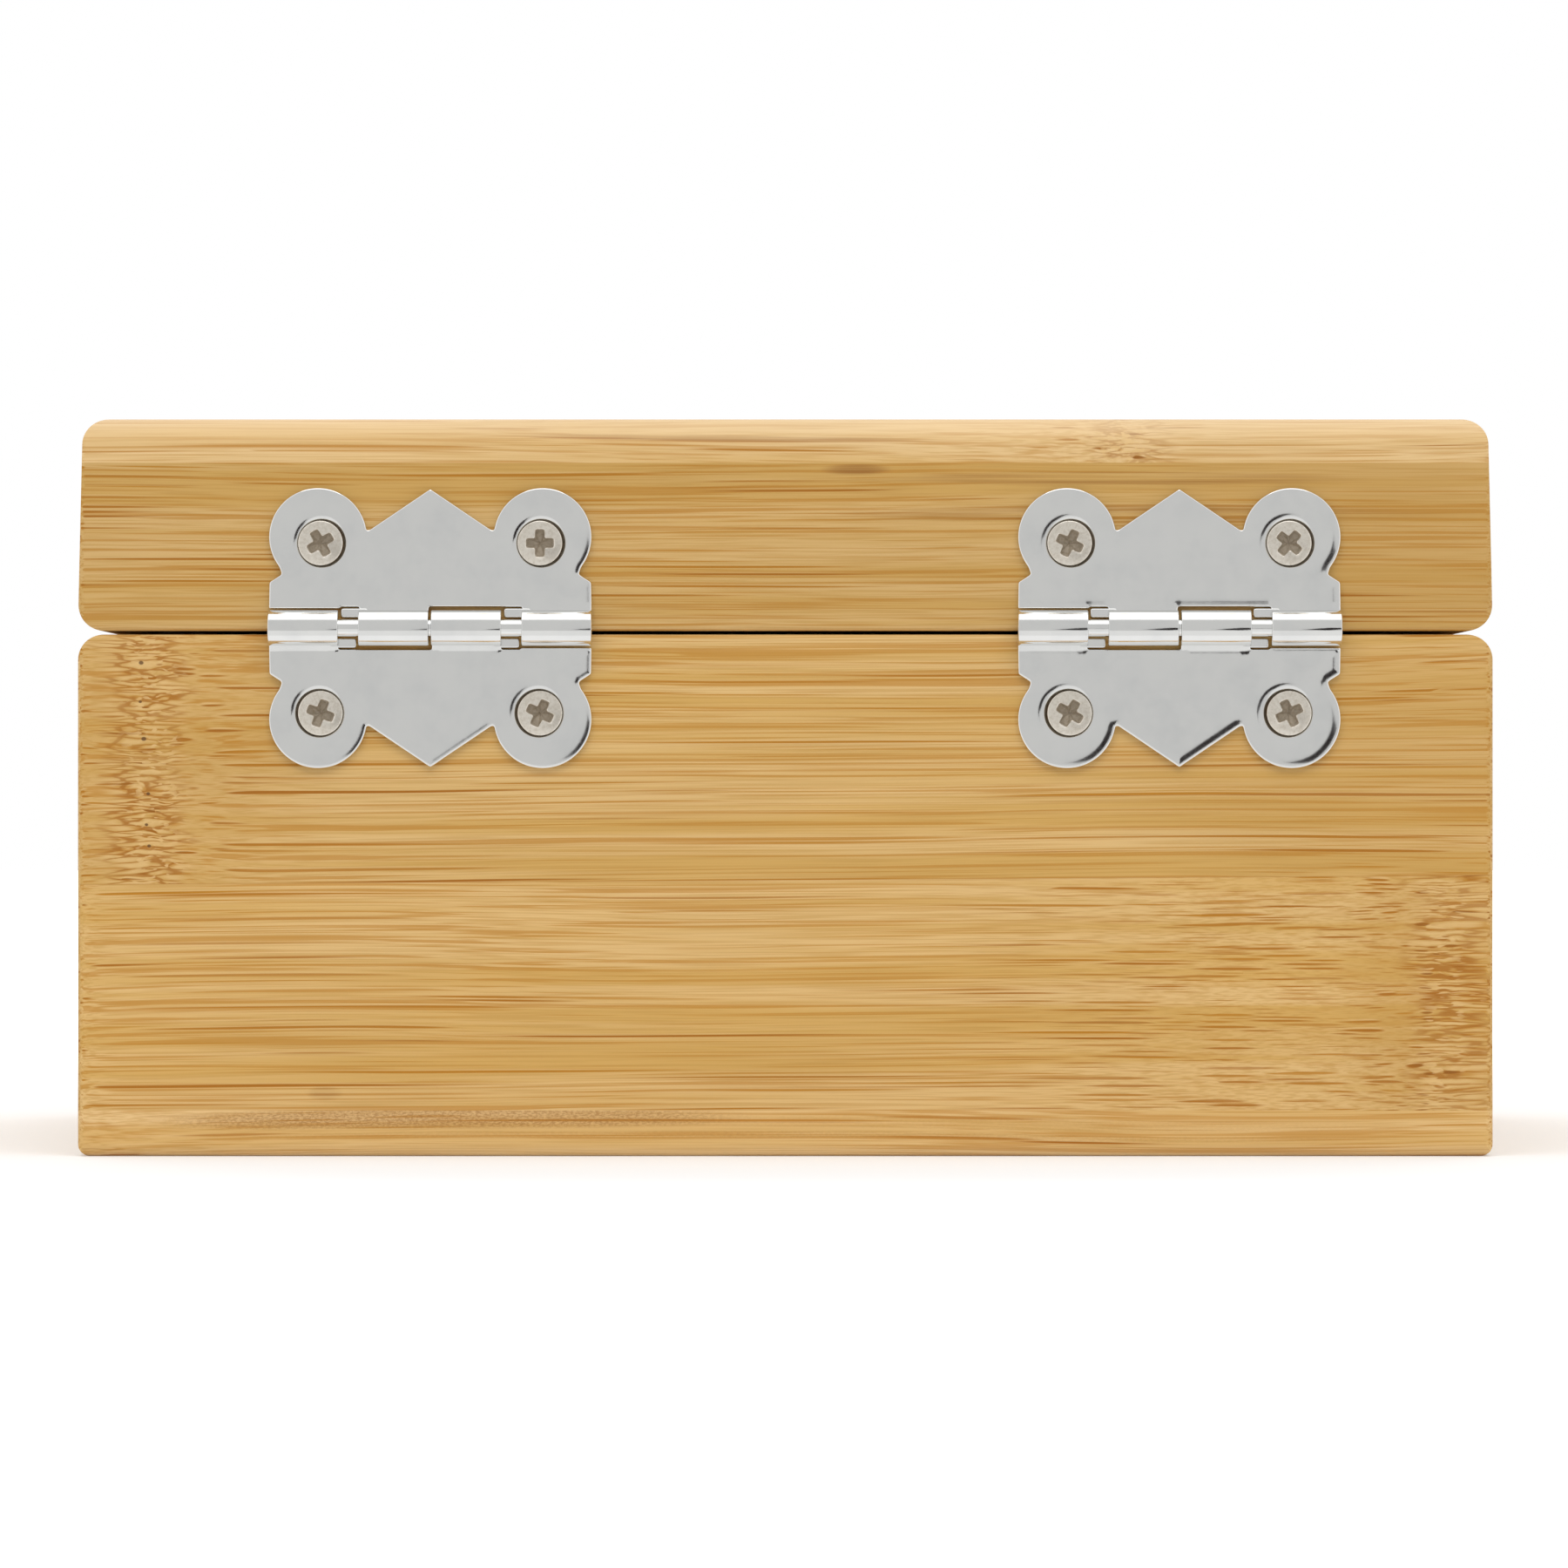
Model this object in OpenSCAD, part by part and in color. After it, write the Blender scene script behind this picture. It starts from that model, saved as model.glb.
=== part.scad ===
// Bamboo tea bag organizer box: four compartments, a lid on two butterfly hinges and a small
// snap hasp in front. Millimetres. The origin is in the middle of the underside, +Z is up, the
// front faces -Y and the hinges are at the back, +Y. Left and right are as seen from the front.

/* [Box] */
// Outside width, from left to right
box_w = 160; // [140:1:240]
// Outside depth, from front to back, without hinges and hasp
box_d = 160; // [140:1:240]
// Height of the body, from the table to its upper edge
body_h = 59; // [50:1:110]
// Thickness of the bottom panel, glued under the boards
bottom_t = 5.2; // [3:0.1:8]
// Thickness of the four mitred boards of the body
board_t = 8; // [7.5:0.5:12]
// Gap between the body and the closed lid
parting_gap = 0.4; // [0.2:0.1:0.8]

/* [Lid] */
// Height of the lid
lid_h = 24; // [22:1:45]
// Thickness of the lid's top panel, glued on the rails
lid_panel_t = 5; // [3:0.5:6]
// Thickness of the four mitred rails of the lid
rail_t = 8; // [7.5:0.5:12]
// How far the left and right sides of the lid are set in at its upper edge
lid_side_inset = 0.6; // [0:0.1:2]

/* [Rounded edges] */
// Radius of the upper edges of the lid
top_edge_r = 3; // [0.5:0.5:4]
// Radius of the front and side edges beside the parting gap
parting_edge_r = 3; // [0.5:0.5:3.5]
// Radius of the back edges beside the parting gap
back_edge_r = 0.6; // [0.2:0.1:1]
// Radius of the edges round the underside
bottom_edge_r = 1.5; // [0.5:0.5:3]
// Radius of the four upright corners
corner_r = 1; // [0.5:0.5:3]

/* [Dividers] */
// Thickness of the two dividers
divider_t = 5; // [3:0.5:8]
// Height of the dividers above the bottom panel
divider_h = 47; // [20:1:50]
// Depth of the groove that holds each end of a divider
groove_depth = 2; // [1:0.5:4]
// Clearance round a divider, in its grooves and where the two cross
divider_play = 0.1; // [0.05:0.05:0.3]
// Radius of the upper edges of the dividers
divider_edge_r = 1; // [0.2:0.2:1.4]

/* [Hinge places] */
// Distance from the left side of the box to the middle of the left hinge
left_hinge_inset = 35.5; // [22:0.5:45]
// Distance from the right side of the box to the middle of the right hinge
right_hinge_inset = 39.9; // [22:0.1:45]
// Height of the barrel's axis above the middle of the parting gap
hinge_rise = 0.5; // [0:0.1:1]

/* [Hinge barrel] */
// Thickness of the sheet metal of a leaf
sheet_t = 1; // [0.6:0.1:1.2]
// Diameter of the hinge pin
pin_d = 1.9; // [1.5:0.1:2.5]
// Radial clearance between the pin and the knuckles
pin_play = 0.05; // [0.02:0.01:0.1]
// Length of one knuckle
knuckle_l = 7.9; // [6:0.1:10]
// Gap between the end of a knuckle and the next knuckle or shoulder
knuckle_gap = 0.3; // [0.2:0.1:0.6]
// Width of the flat shoulder beside a knuckle
shoulder_w = 2; // [1:0.1:3]
// Distance from the knuckle's bore to the edge of a shoulder
shoulder_gap = 0.2; // [0.1:0.1:0.5]
// Radius of the free corner of a shoulder
shoulder_r = 0.6; // [0.2:0.1:0.8]
// Width of the slit between a shoulder and its leaf
slit_w = 0.2; // [0.1:0.05:0.3]
// Distance from a knuckle to the edge of the opposite leaf
leaf_gap = 0.4; // [0.3:0.1:1]
// How far the barrel stands clear of the wood
barrel_lift = 0.3; // [0.2:0.1:0.8]
// Open seam between the rolled end of a knuckle and its leaf
seam_gap = 0.12; // [0.05:0.01:0.3]

/* [Hinge leaf] */
// Radius of the two round lobes of a leaf
lobe_r = 5.56; // [4.5:0.1:6.5]
// Height of the middle of a lobe above the barrel's axis
lobe_rise = 10.3; // [9:0.1:12]
// Height of the pointed peak above the barrel's axis
peak_rise = 15.65; // [13:0.1:18]
// Height of the two notches beside the peak
cusp_rise = 11.1; // [10:0.1:13]
// Distance from the middle of a leaf to the notch beside its peak
cusp_x = 7; // [5:0.1:8]
// Height of the pointed ears at the sides of a leaf
ear_rise = 5.2; // [4:0.1:6]
// How deep the notch above an ear cuts into the side of a leaf
ear_notch = 1.4; // [0.5:0.1:2]
// How far the screw holes sit below the middle of the lobes
screw_drop = 0.7; // [0:0.1:1]
// How far the screw holes sit nearer to the middle of the leaf than the lobes
screw_shift = 0.3; // [0:0.1:1]

/* [Hinge screws] */
// Diameter of the shank of a hinge screw
screw_d = 2.7; // [2:0.1:3]
// Diameter of the countersunk head of a hinge screw
screw_head_d = 5.4; // [4.5:0.1:6]
// How deep a hinge screw reaches into the wood
screw_l = 6.5; // [4:0.5:6.5]
// Thickness of the rim round the screw heads
screw_rim_t = 0.15; // [0.05:0.05:0.3]
// Height of the domed top of the screw heads
screw_dome_h = 0.3; // [0.1:0.05:0.5]
// Clearance round the screw heads in their countersinks
countersink_play = 0.1; // [0.05:0.05:0.3]
// Clearance round the screws in their pilot holes
pilot_play = 0.05; // [0.02:0.01:0.1]

/* [Hasp] */
// Height of the hasp's axis above the lower edge of the lid
hasp_rise = 5.5; // [5:0.5:7]
// Width of the hasp plate and of its barrel
hasp_w = 18; // [16:0.5:24]
// Height of the hasp plate above its axis
hasp_plate_h = 11.5; // [9:0.5:12]
// Thickness of the sheet metal of the hasp
hasp_sheet_t = 0.8; // [0.6:0.1:1]
// Diameter of the hasp's pin
hasp_pin_d = 1.5; // [1:0.1:1.8]
// Width of the tongue
tongue_w = 8; // [6:0.5:9]
// Distance from the hasp's axis down to the keeper's stud
tongue_reach = 14; // [12:0.5:15]
// Length of tongue below the stud
tongue_end = 4.5; // [3.5:0.5:6]
// Inner radius of the tongue's finger lip
lip_r = 1.2; // [0.6:0.2:2]
// Radius of the corners of the hasp plate and the keeper
plate_corner_r = 2.5; // [1:0.5:4]

/* [Keeper] */
// Width of the keeper plate
keeper_w = 18; // [16:0.5:24]
// Height of the keeper plate
keeper_h = 9; // [8:0.5:9]
// Diameter of the keeper's stud
stud_d = 3.4; // [2.5:0.1:4]
// How far the stud stands out in front of the tongue
stud_proud = 0.8; // [0.4:0.1:1.5]
// Clearance of the stud in the hole of the tongue
stud_play = 0.3; // [0.25:0.05:0.6]
// Clearance between the tongue and the boss behind it
tongue_play = 0.2; // [0.1:0.05:0.4]
// Width of the sloped shoulder round the stud
boss_rim = 1.2; // [0.6:0.1:1.5]

/* [Hasp screws] */
// Diameter of the shank of a hasp screw
hasp_screw_d = 2; // [1.6:0.1:2.2]
// Diameter of the countersunk head of a hasp screw
hasp_screw_head_d = 3.8; // [3:0.1:4]
// How deep a hasp screw reaches into the wood
hasp_screw_l = 5.5; // [4:0.5:6]
// Distance from the side edge of the hasp plate and the keeper to the screws
hasp_screw_inset = 3; // [2.5:0.1:3]

/* [Hidden] */
$fn = 64;
cut = 1; // how far a cutting shape runs past the surface that it cuts
half_turn = 180;

bamboo = [0.86, 0.69, 0.44];
pale_bamboo = [0.91, 0.76, 0.53];
chrome = [0.78, 0.79, 0.80];
nickel = [0.72, 0.69, 0.63];

// Heights
lid_z = body_h + parting_gap;
lid_top_z = lid_z + lid_h;
rail_top_z = lid_top_z - lid_panel_t;
hinge_z = body_h + parting_gap / 2 + hinge_rise;
hasp_z = lid_z + hasp_rise;
divider_top_z = bottom_t + divider_h;

// Hinge places
left_hinge_x = -box_w / 2 + left_hinge_inset;
right_hinge_x = box_w / 2 - right_hinge_inset;

// Dividers
groove_w = divider_t + 2 * divider_play;
groove_floor = groove_depth - divider_play;

// Hinge barrel, with its leaf seen from behind: x runs along the barrel, y up the leaf and z out
// of the wood. Each leaf carries two knuckles, and the lower leaf is the upper one turned over.
bore_r = pin_d / 2 + pin_play;
barrel_r = bore_r + sheet_t;
axis_out = barrel_lift + barrel_r;
root_w = shoulder_w + knuckle_gap;
barrel_l = 4 * knuckle_l + 2 * root_w + knuckle_gap;
knuckle_starts = [-knuckle_gap / 2 - knuckle_l, barrel_l / 2 - knuckle_l];
leaf_edge = barrel_r + leaf_gap;
shoulder_edge = bore_r + shoulder_gap;

// Hinge leaf
lobe_x = barrel_l / 2 - lobe_r;
screw_x = lobe_x - screw_shift;
screw_y = lobe_rise - screw_drop;
flank_angle = 38; // where the side of the leaf leaves the lobe's circle

// Hasp, seen from the front in the same way
hasp_bore_r = hasp_pin_d / 2 + pin_play;
hasp_barrel_r = hasp_bore_r + hasp_sheet_t;
hasp_axis_out = barrel_lift + hasp_barrel_r;
hasp_knuckle_l = (hasp_w - tongue_w) / 2 - knuckle_gap;
hasp_edge = hasp_barrel_r + leaf_gap;
hasp_screw_y = (hasp_edge + hasp_plate_h) / 2;
tongue_back = hasp_axis_out + hasp_bore_r;
tongue_front = tongue_back + hasp_sheet_t;
boss_top = tongue_back - tongue_play;

// ---- Outlines ----

// Corner i of an outline: the directions to its two neighbours, and half the angle between them
function to_last(points, i) =
    let (side = points[(i + len(points) - 1) % len(points)] - points[i]) side / norm(side);
function to_next(points, i) =
    let (side = points[(i + 1) % len(points)] - points[i]) side / norm(side);
function half_angle(points, i) = acos(to_last(points, i) * to_next(points, i)) / 2;

// A convex outline whose corner i is rounded by an arc of radius radii[i]
module rounded_outline(points, radii) {
    corners = [for (i = [0 : len(points) - 1]) i];
    polygon([
        for (i = corners)
            let (run = radii[i] / tan(half_angle(points, i)))
            each radii[i] > 0
                ? [points[i] + run * to_last(points, i), points[i] + run * to_next(points, i)]
                : [points[i]]
    ]);
    for (i = corners)
        if (radii[i] > 0) {
            inward = to_last(points, i) + to_next(points, i);
            translate(points[i] + inward / norm(inward) * radii[i] / sin(half_angle(points, i)))
                circle(radii[i]);
        }
}

// A rectangle from low to high with radii at its lower left, lower right, upper right and upper left
module rounded_box_outline(low, high, radii)
    rounded_outline([low, [high.x, low.y], high, [low.x, high.y]], radii);

// ---- The wooden box ----

// The outer form between two heights: the view from the front, the view from the side and the
// plan, each with its own rounded corners, cut out of each other
module rounded_form(low_z, high_z, side_inset, front_radii, side_radii) {
    intersection() {
        translate([0, box_d / 2 + cut, 0])
            rotate([90, 0, 0])
                linear_extrude(box_d + 2 * cut)
                    rounded_outline(
                        [[-box_w / 2, low_z], [box_w / 2, low_z],
                         [box_w / 2 - side_inset, high_z], [-box_w / 2 + side_inset, high_z]],
                        front_radii);
        translate([-box_w / 2 - cut, 0, 0])
            rotate([90, 0, 90])
                linear_extrude(box_w + 2 * cut)
                    rounded_box_outline([-box_d / 2, low_z], [box_d / 2, high_z], side_radii);
        translate([0, 0, low_z - cut])
            linear_extrude(high_z - low_z + 2 * cut)
                rounded_box_outline([-box_w / 2, -box_d / 2], [box_w / 2, box_d / 2],
                                    [corner_r, corner_r, corner_r, corner_r]);
    }
}

module body_form()
    rounded_form(0, body_h, 0,
                 [bottom_edge_r, bottom_edge_r, parting_edge_r, parting_edge_r],
                 [bottom_edge_r, bottom_edge_r, back_edge_r, parting_edge_r]);

module lid_form()
    rounded_form(lid_z, lid_top_z, lid_side_inset,
                 [parting_edge_r, parting_edge_r, top_edge_r, top_edge_r],
                 [parting_edge_r, back_edge_r, top_edge_r, top_edge_r]);

// A slab as wide as the box, between two heights
module slab(low_z, high_z)
    translate([-box_w / 2 - cut, -box_d / 2 - cut, low_z])
        cube([box_w + 2 * cut, box_d + 2 * cut, high_z - low_z]);

// The mitred strip along one side, counted anticlockwise in plan from the back
module mitred_strip(side, thick, low_z, high_z) {
    along = side % 2 == 0 ? box_w : box_d;
    across = side % 2 == 0 ? box_d : box_w;
    rotate(90 * side)
        translate([0, 0, low_z])
            linear_extrude(high_z - low_z)
                polygon([
                    [-along / 2 - cut, across / 2 + cut], [along / 2 + cut, across / 2 + cut],
                    [along / 2 - thick, across / 2 - thick], [-along / 2 + thick, across / 2 - thick]
                ]);
}

back = 0;
left = 1;
front = 2;
right = 3;

module board(side)
    color(bamboo)
        difference() {
            intersection() {
                body_form();
                mitred_strip(side, board_t, bottom_t, body_h + cut);
            }
            divider_groove(side);
        }

// The groove in the inner face of a board, open to the bottom panel
module divider_groove(side) {
    across = side % 2 == 0 ? box_d : box_w;
    rotate(90 * side)
        translate([-groove_w / 2, across / 2 - board_t - cut, bottom_t - cut])
            cube([groove_w, groove_depth + cut, divider_h + divider_play + cut]);
}

module lid_rail(side)
    color(bamboo)
        intersection() {
            lid_form();
            mitred_strip(side, rail_t, lid_z - cut, rail_top_z);
        }

module bottom_panel()
    color(bamboo)
        intersection() {
            body_form();
            slab(-cut, bottom_t);
        }

module lid_panel()
    color(pale_bamboo)
        intersection() {
            lid_form();
            slab(rail_top_z, lid_top_z + cut);
        }

module front_board()
    difference() {
        board(front);
        color(bamboo) at_keeper() hasp_screw_row(keeper_w, 0) pilot(hasp_screw_d, hasp_screw_l);
    }

module back_board()
    difference() {
        board(back);
        color(bamboo)
            for (x = [left_hinge_x, right_hinge_x])
                at_hinge(x) turned_over() leaf_screw_places() pilot(screw_d, screw_l);
    }

module left_board() board(left);

module right_board() board(right);

module lid_front_rail()
    difference() {
        lid_rail(front);
        color(bamboo)
            at_hasp() hasp_screw_row(hasp_w, hasp_screw_y) pilot(hasp_screw_d, hasp_screw_l);
    }

module lid_back_rail()
    difference() {
        lid_rail(back);
        color(bamboo)
            for (x = [left_hinge_x, right_hinge_x])
                at_hinge(x) leaf_screw_places() pilot(screw_d, screw_l);
    }

module lid_left_rail() lid_rail(left);

module lid_right_rail() lid_rail(right);

// ---- The dividers ----

// A divider along X that spans the given outside size, standing on the bottom panel
module divider_strip(outside) {
    length = outside - 2 * board_t + 2 * groove_floor;
    translate([-length / 2, 0, 0])
        rotate([90, 0, 90])
            linear_extrude(length)
                rounded_box_outline([-divider_t / 2, bottom_t], [divider_t / 2, divider_top_z],
                                    [0, 0, divider_edge_r, divider_edge_r]);
}

// The slot where the dividers cross, between two heights
module crossing_slot(low_z, high_z)
    translate([-groove_w / 2, -groove_w / 2, low_z])
        cube([groove_w, groove_w, high_z - low_z]);

module side_to_side_divider()
    color(pale_bamboo)
        difference() {
            divider_strip(box_w);
            crossing_slot(bottom_t + divider_h / 2, divider_top_z + cut);
        }

module front_to_back_divider()
    color(pale_bamboo)
        difference() {
            rotate(90) divider_strip(box_d);
            crossing_slot(bottom_t - cut, bottom_t + divider_h / 2 + divider_play);
        }

// ---- Rolled sheet metal ----

// The section across a knuckle: x runs up the leaf from the barrel's axis, y out of the wood. The
// sheet comes down the leaf from x = root, steps out by barrel_lift, runs round the pin and ends
// at a narrow seam in front of itself.
module knuckle_section(sheet, bore, edge, root) {
    outer = bore + sheet;
    step = barrel_lift * 2.5;
    difference() {
        translate([0, barrel_lift + outer]) circle(outer);
        translate([0, barrel_lift + outer]) circle(bore);
        translate([0, -cut]) square([outer + cut, cut + barrel_lift + sheet + seam_gap]);
    }
    polygon([
        [0, barrel_lift], [0, barrel_lift + sheet], [edge - step, barrel_lift + sheet],
        [edge, sheet], [root, sheet], [root, 0], [edge, 0], [edge - step, barrel_lift]
    ]);
}

// A knuckle that starts at x = start
module knuckle(start, length, sheet, bore, edge)
    translate([start, 0, 0])
        rotate([90, 0, 90])
            linear_extrude(length) knuckle_section(sheet, bore, edge, edge + cut);

// A screw with its countersunk head in a leaf on the wood's face, z = 0
module screw(shank_d, head_d, length, turn) {
    head_h = (head_d - shank_d) / 2;
    rim_z = head_h + screw_rim_t;
    dome_r = (head_d * head_d / 4 + screw_dome_h * screw_dome_h) / (2 * screw_dome_h);
    wing_l = 0.56 * head_d;
    wing_w = 0.16 * head_d;
    difference() {
        rotate_extrude() {
            polygon([
                [0, -length], [shank_d / 2, -length + shank_d / 2], [shank_d / 2, 0],
                [head_d / 2, head_h], [head_d / 2, rim_z], [0, rim_z]
            ]);
            translate([0, rim_z])
                intersection() {
                    translate([0, screw_dome_h - dome_r]) circle(dome_r);
                    square([head_d / 2, screw_dome_h]);
                }
        }
        rotate(turn)
            intersection() {
                for (wing = [0, 90])
                    rotate(wing)
                        translate([-wing_l / 2, -wing_w / 2, 0])
                            cube([wing_l, wing_w, rim_z + screw_dome_h + cut]);
                cylinder(r1 = 0, r2 = wing_l / 2, h = rim_z + screw_dome_h / 2);
            }
    }
}

// The cone that a screw's head sits in, and its hole
module countersink(shank_d, head_d) {
    hole_r = shank_d / 2 + 1.5 * countersink_play;
    head_h = (head_d - shank_d) / 2;
    cylinder(r1 = hole_r, r2 = hole_r + head_h + cut, h = head_h + cut);
    translate([0, 0, -cut]) cylinder(r = hole_r, h = 2 * cut);
}

// The pilot hole of a screw in the wood
module pilot(shank_d, length)
    translate([0, 0, -length - 2 * pilot_play])
        cylinder(d = shank_d + 2 * pilot_play, h = length + 2 * pilot_play + cut);

// ---- Butterfly hinges ----

// Puts a part that is drawn on the wood's face, seen from behind, at a hinge
module at_hinge(x)
    translate([x, box_d / 2, hinge_z])
        rotate([90, 0, half_turn])
            children();

module turned_over()
    rotate(half_turn) children();

module leaf_screw_places()
    for (side = [-1, 1])
        translate([side * screw_x, screw_y, 0])
            children();

// Two lobes with a peak between them, and a pointed ear at each side
module leaf_outline() {
    half_l = barrel_l / 2;
    flank = [lobe_x + lobe_r * cos(flank_angle), lobe_rise - lobe_r * sin(flank_angle)];
    side = [
        [cusp_x, cusp_rise], [lobe_x, lobe_rise], flank,
        [half_l - ear_notch, (ear_rise + flank.y) / 2], [half_l, ear_rise], [half_l, leaf_edge]
    ];
    last = len(side) - 1;
    polygon(concat(
        [[0, peak_rise]], side,
        [for (i = [last : -1 : 0]) [-side[i].x, side[i].y]]
    ));
    for (x = [-lobe_x, lobe_x])
        translate([x, lobe_rise]) circle(lobe_r);
}

// The flat shoulder that the sheet keeps beside a knuckle, cut free of the leaf by a slit
module shoulder(start)
    translate([0, 0, barrel_lift])
        linear_extrude(sheet_t)
            rounded_box_outline([start - shoulder_w, shoulder_edge], [start + cut, leaf_edge - slit_w],
                                [shoulder_r, 0, 0, 0]);

module hinge_leaf() {
    difference() {
        linear_extrude(sheet_t) leaf_outline();
        leaf_screw_places() countersink(screw_d, screw_head_d);
    }
    for (start = knuckle_starts) {
        knuckle(start, knuckle_l, sheet_t, bore_r, leaf_edge);
        shoulder(start);
    }
}

module hinge_pin()
    translate([0, 0, axis_out])
        rotate([0, 90, 0])
            cylinder(d = pin_d, h = barrel_l - 2 * pin_play, center = true);

// The two screws of a leaf, with their cross recesses turned as they happened to stop
module leaf_screws(turns)
    for (i = [0, 1])
        translate([(2 * i - 1) * screw_x, screw_y, 0])
            screw(screw_d, screw_head_d, screw_l, turns[i]);

module left_hinge_lower_leaf() color(chrome) at_hinge(left_hinge_x) turned_over() hinge_leaf();

module left_hinge_upper_leaf() color(chrome) at_hinge(left_hinge_x) hinge_leaf();

module left_hinge_pin() color(chrome) at_hinge(left_hinge_x) hinge_pin();

module left_hinge_lower_screws()
    color(nickel) at_hinge(left_hinge_x) turned_over() leaf_screws([25, 60]);

module left_hinge_upper_screws() color(nickel) at_hinge(left_hinge_x) leaf_screws([65, 50]);

module right_hinge_lower_leaf() color(chrome) at_hinge(right_hinge_x) turned_over() hinge_leaf();

module right_hinge_upper_leaf() color(chrome) at_hinge(right_hinge_x) hinge_leaf();

module right_hinge_pin() color(chrome) at_hinge(right_hinge_x) hinge_pin();

module right_hinge_lower_screws()
    color(nickel) at_hinge(right_hinge_x) turned_over() leaf_screws([65, 70]);

module right_hinge_upper_screws() color(nickel) at_hinge(right_hinge_x) leaf_screws([30, 0]);

// ---- Snap hasp ----

// Puts a part that is drawn on the wood's face, seen from the front, at the hasp's axis
module at_hasp()
    translate([0, -box_d / 2, hasp_z])
        rotate([90, 0, 0])
            children();

// The same at the keeper's stud
module at_keeper()
    at_hasp() translate([0, -tongue_reach, 0]) children();

module hasp_screw_row(plate_w, y)
    for (side = [-1, 1])
        translate([side * (plate_w / 2 - hasp_screw_inset), y, 0])
            children();

module hasp_plate()
    color(chrome)
        at_hasp() {
            difference() {
                linear_extrude(hasp_sheet_t)
                    rounded_box_outline([-hasp_w / 2, hasp_edge], [hasp_w / 2, hasp_plate_h],
                                        [0, 0, plate_corner_r, plate_corner_r]);
                hasp_screw_row(hasp_w, hasp_screw_y) countersink(hasp_screw_d, hasp_screw_head_d);
            }
            for (start = [-hasp_w / 2, hasp_w / 2 - hasp_knuckle_l])
                knuckle(start, hasp_knuckle_l, hasp_sheet_t, hasp_bore_r, hasp_edge);
        }

module hasp_plate_screws()
    color(nickel)
        at_hasp() hasp_screw_row(hasp_w, hasp_screw_y)
            screw(hasp_screw_d, hasp_screw_head_d, hasp_screw_l, 20);

module hasp_pin()
    color(chrome)
        at_hasp()
            translate([0, 0, hasp_axis_out])
                rotate([0, 90, 0])
                    cylinder(d = hasp_pin_d, h = hasp_w - 2 * pin_play, center = true);

// The section down the tongue: a rolled knuckle, a straight flap in front of the keeper and a
// finger lip that curls outwards. x runs down from the axis, y out of the wood.
module tongue_section() {
    straight = tongue_reach + tongue_end - lip_r - hasp_sheet_t;
    difference() {
        translate([0, hasp_axis_out]) circle(hasp_barrel_r);
        translate([0, hasp_axis_out]) circle(hasp_bore_r);
        translate([0, tongue_back - seam_gap]) square([hasp_barrel_r + cut, hasp_barrel_r]);
    }
    translate([0, tongue_back]) square([straight, hasp_sheet_t]);
    translate([straight, tongue_front + lip_r])
        difference() {
            circle(lip_r + hasp_sheet_t);
            circle(lip_r);
            translate([-lip_r - hasp_sheet_t - cut, -lip_r - hasp_sheet_t - cut])
                square([lip_r + hasp_sheet_t + cut, 2 * (lip_r + hasp_sheet_t + cut)]);
            square(lip_r + hasp_sheet_t + cut);
        }
}

module hasp_tongue()
    color(chrome)
        at_hasp()
            difference() {
                translate([tongue_w / 2, 0, 0])
                    rotate([90, 0, -90])
                        linear_extrude(tongue_w) tongue_section();
                translate([0, -tongue_reach, 0])
                    cylinder(d = stud_d + 2 * stud_play, h = tongue_front + cut);
            }

// A plate with a pressed boss that the tongue lies on, and a domed stud that it snaps over
module keeper() {
    stud_r = stud_d / 2;
    neck = tongue_front + stud_proud - boss_top - stud_r / 2;
    color(chrome)
        at_keeper() {
            difference() {
                linear_extrude(hasp_sheet_t)
                    rounded_box_outline([-keeper_w / 2, -keeper_h / 2], [keeper_w / 2, keeper_h / 2],
                                        [for (i = [0 : 3]) plate_corner_r]);
                hasp_screw_row(keeper_w, 0) countersink(hasp_screw_d, hasp_screw_head_d);
            }
            rotate_extrude() {
                polygon([
                    [0, 0], [stud_r + 2 * boss_rim, 0], [stud_r + 2 * boss_rim, hasp_sheet_t],
                    [stud_r + boss_rim, boss_top], [stud_r, boss_top], [stud_r, boss_top + neck],
                    [0, boss_top + neck]
                ]);
                translate([0, boss_top + neck])
                    intersection() {
                        translate([0, -3 / 4 * stud_r]) circle(5 / 4 * stud_r);
                        square([stud_r, stud_r]);
                    }
            }
        }
}

module keeper_screws()
    color(nickel)
        at_keeper() hasp_screw_row(keeper_w, 0)
            screw(hasp_screw_d, hasp_screw_head_d, hasp_screw_l, 70);

bottom_panel();
front_board();
back_board();
left_board();
right_board();
side_to_side_divider();
front_to_back_divider();
lid_panel();
lid_front_rail();
lid_back_rail();
lid_left_rail();
lid_right_rail();
left_hinge_lower_leaf();
left_hinge_upper_leaf();
left_hinge_pin();
left_hinge_lower_screws();
left_hinge_upper_screws();
right_hinge_lower_leaf();
right_hinge_upper_leaf();
right_hinge_pin();
right_hinge_lower_screws();
right_hinge_upper_screws();
hasp_plate();
hasp_plate_screws();
hasp_pin();
hasp_tongue();
keeper();
keeper_screws();
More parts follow.
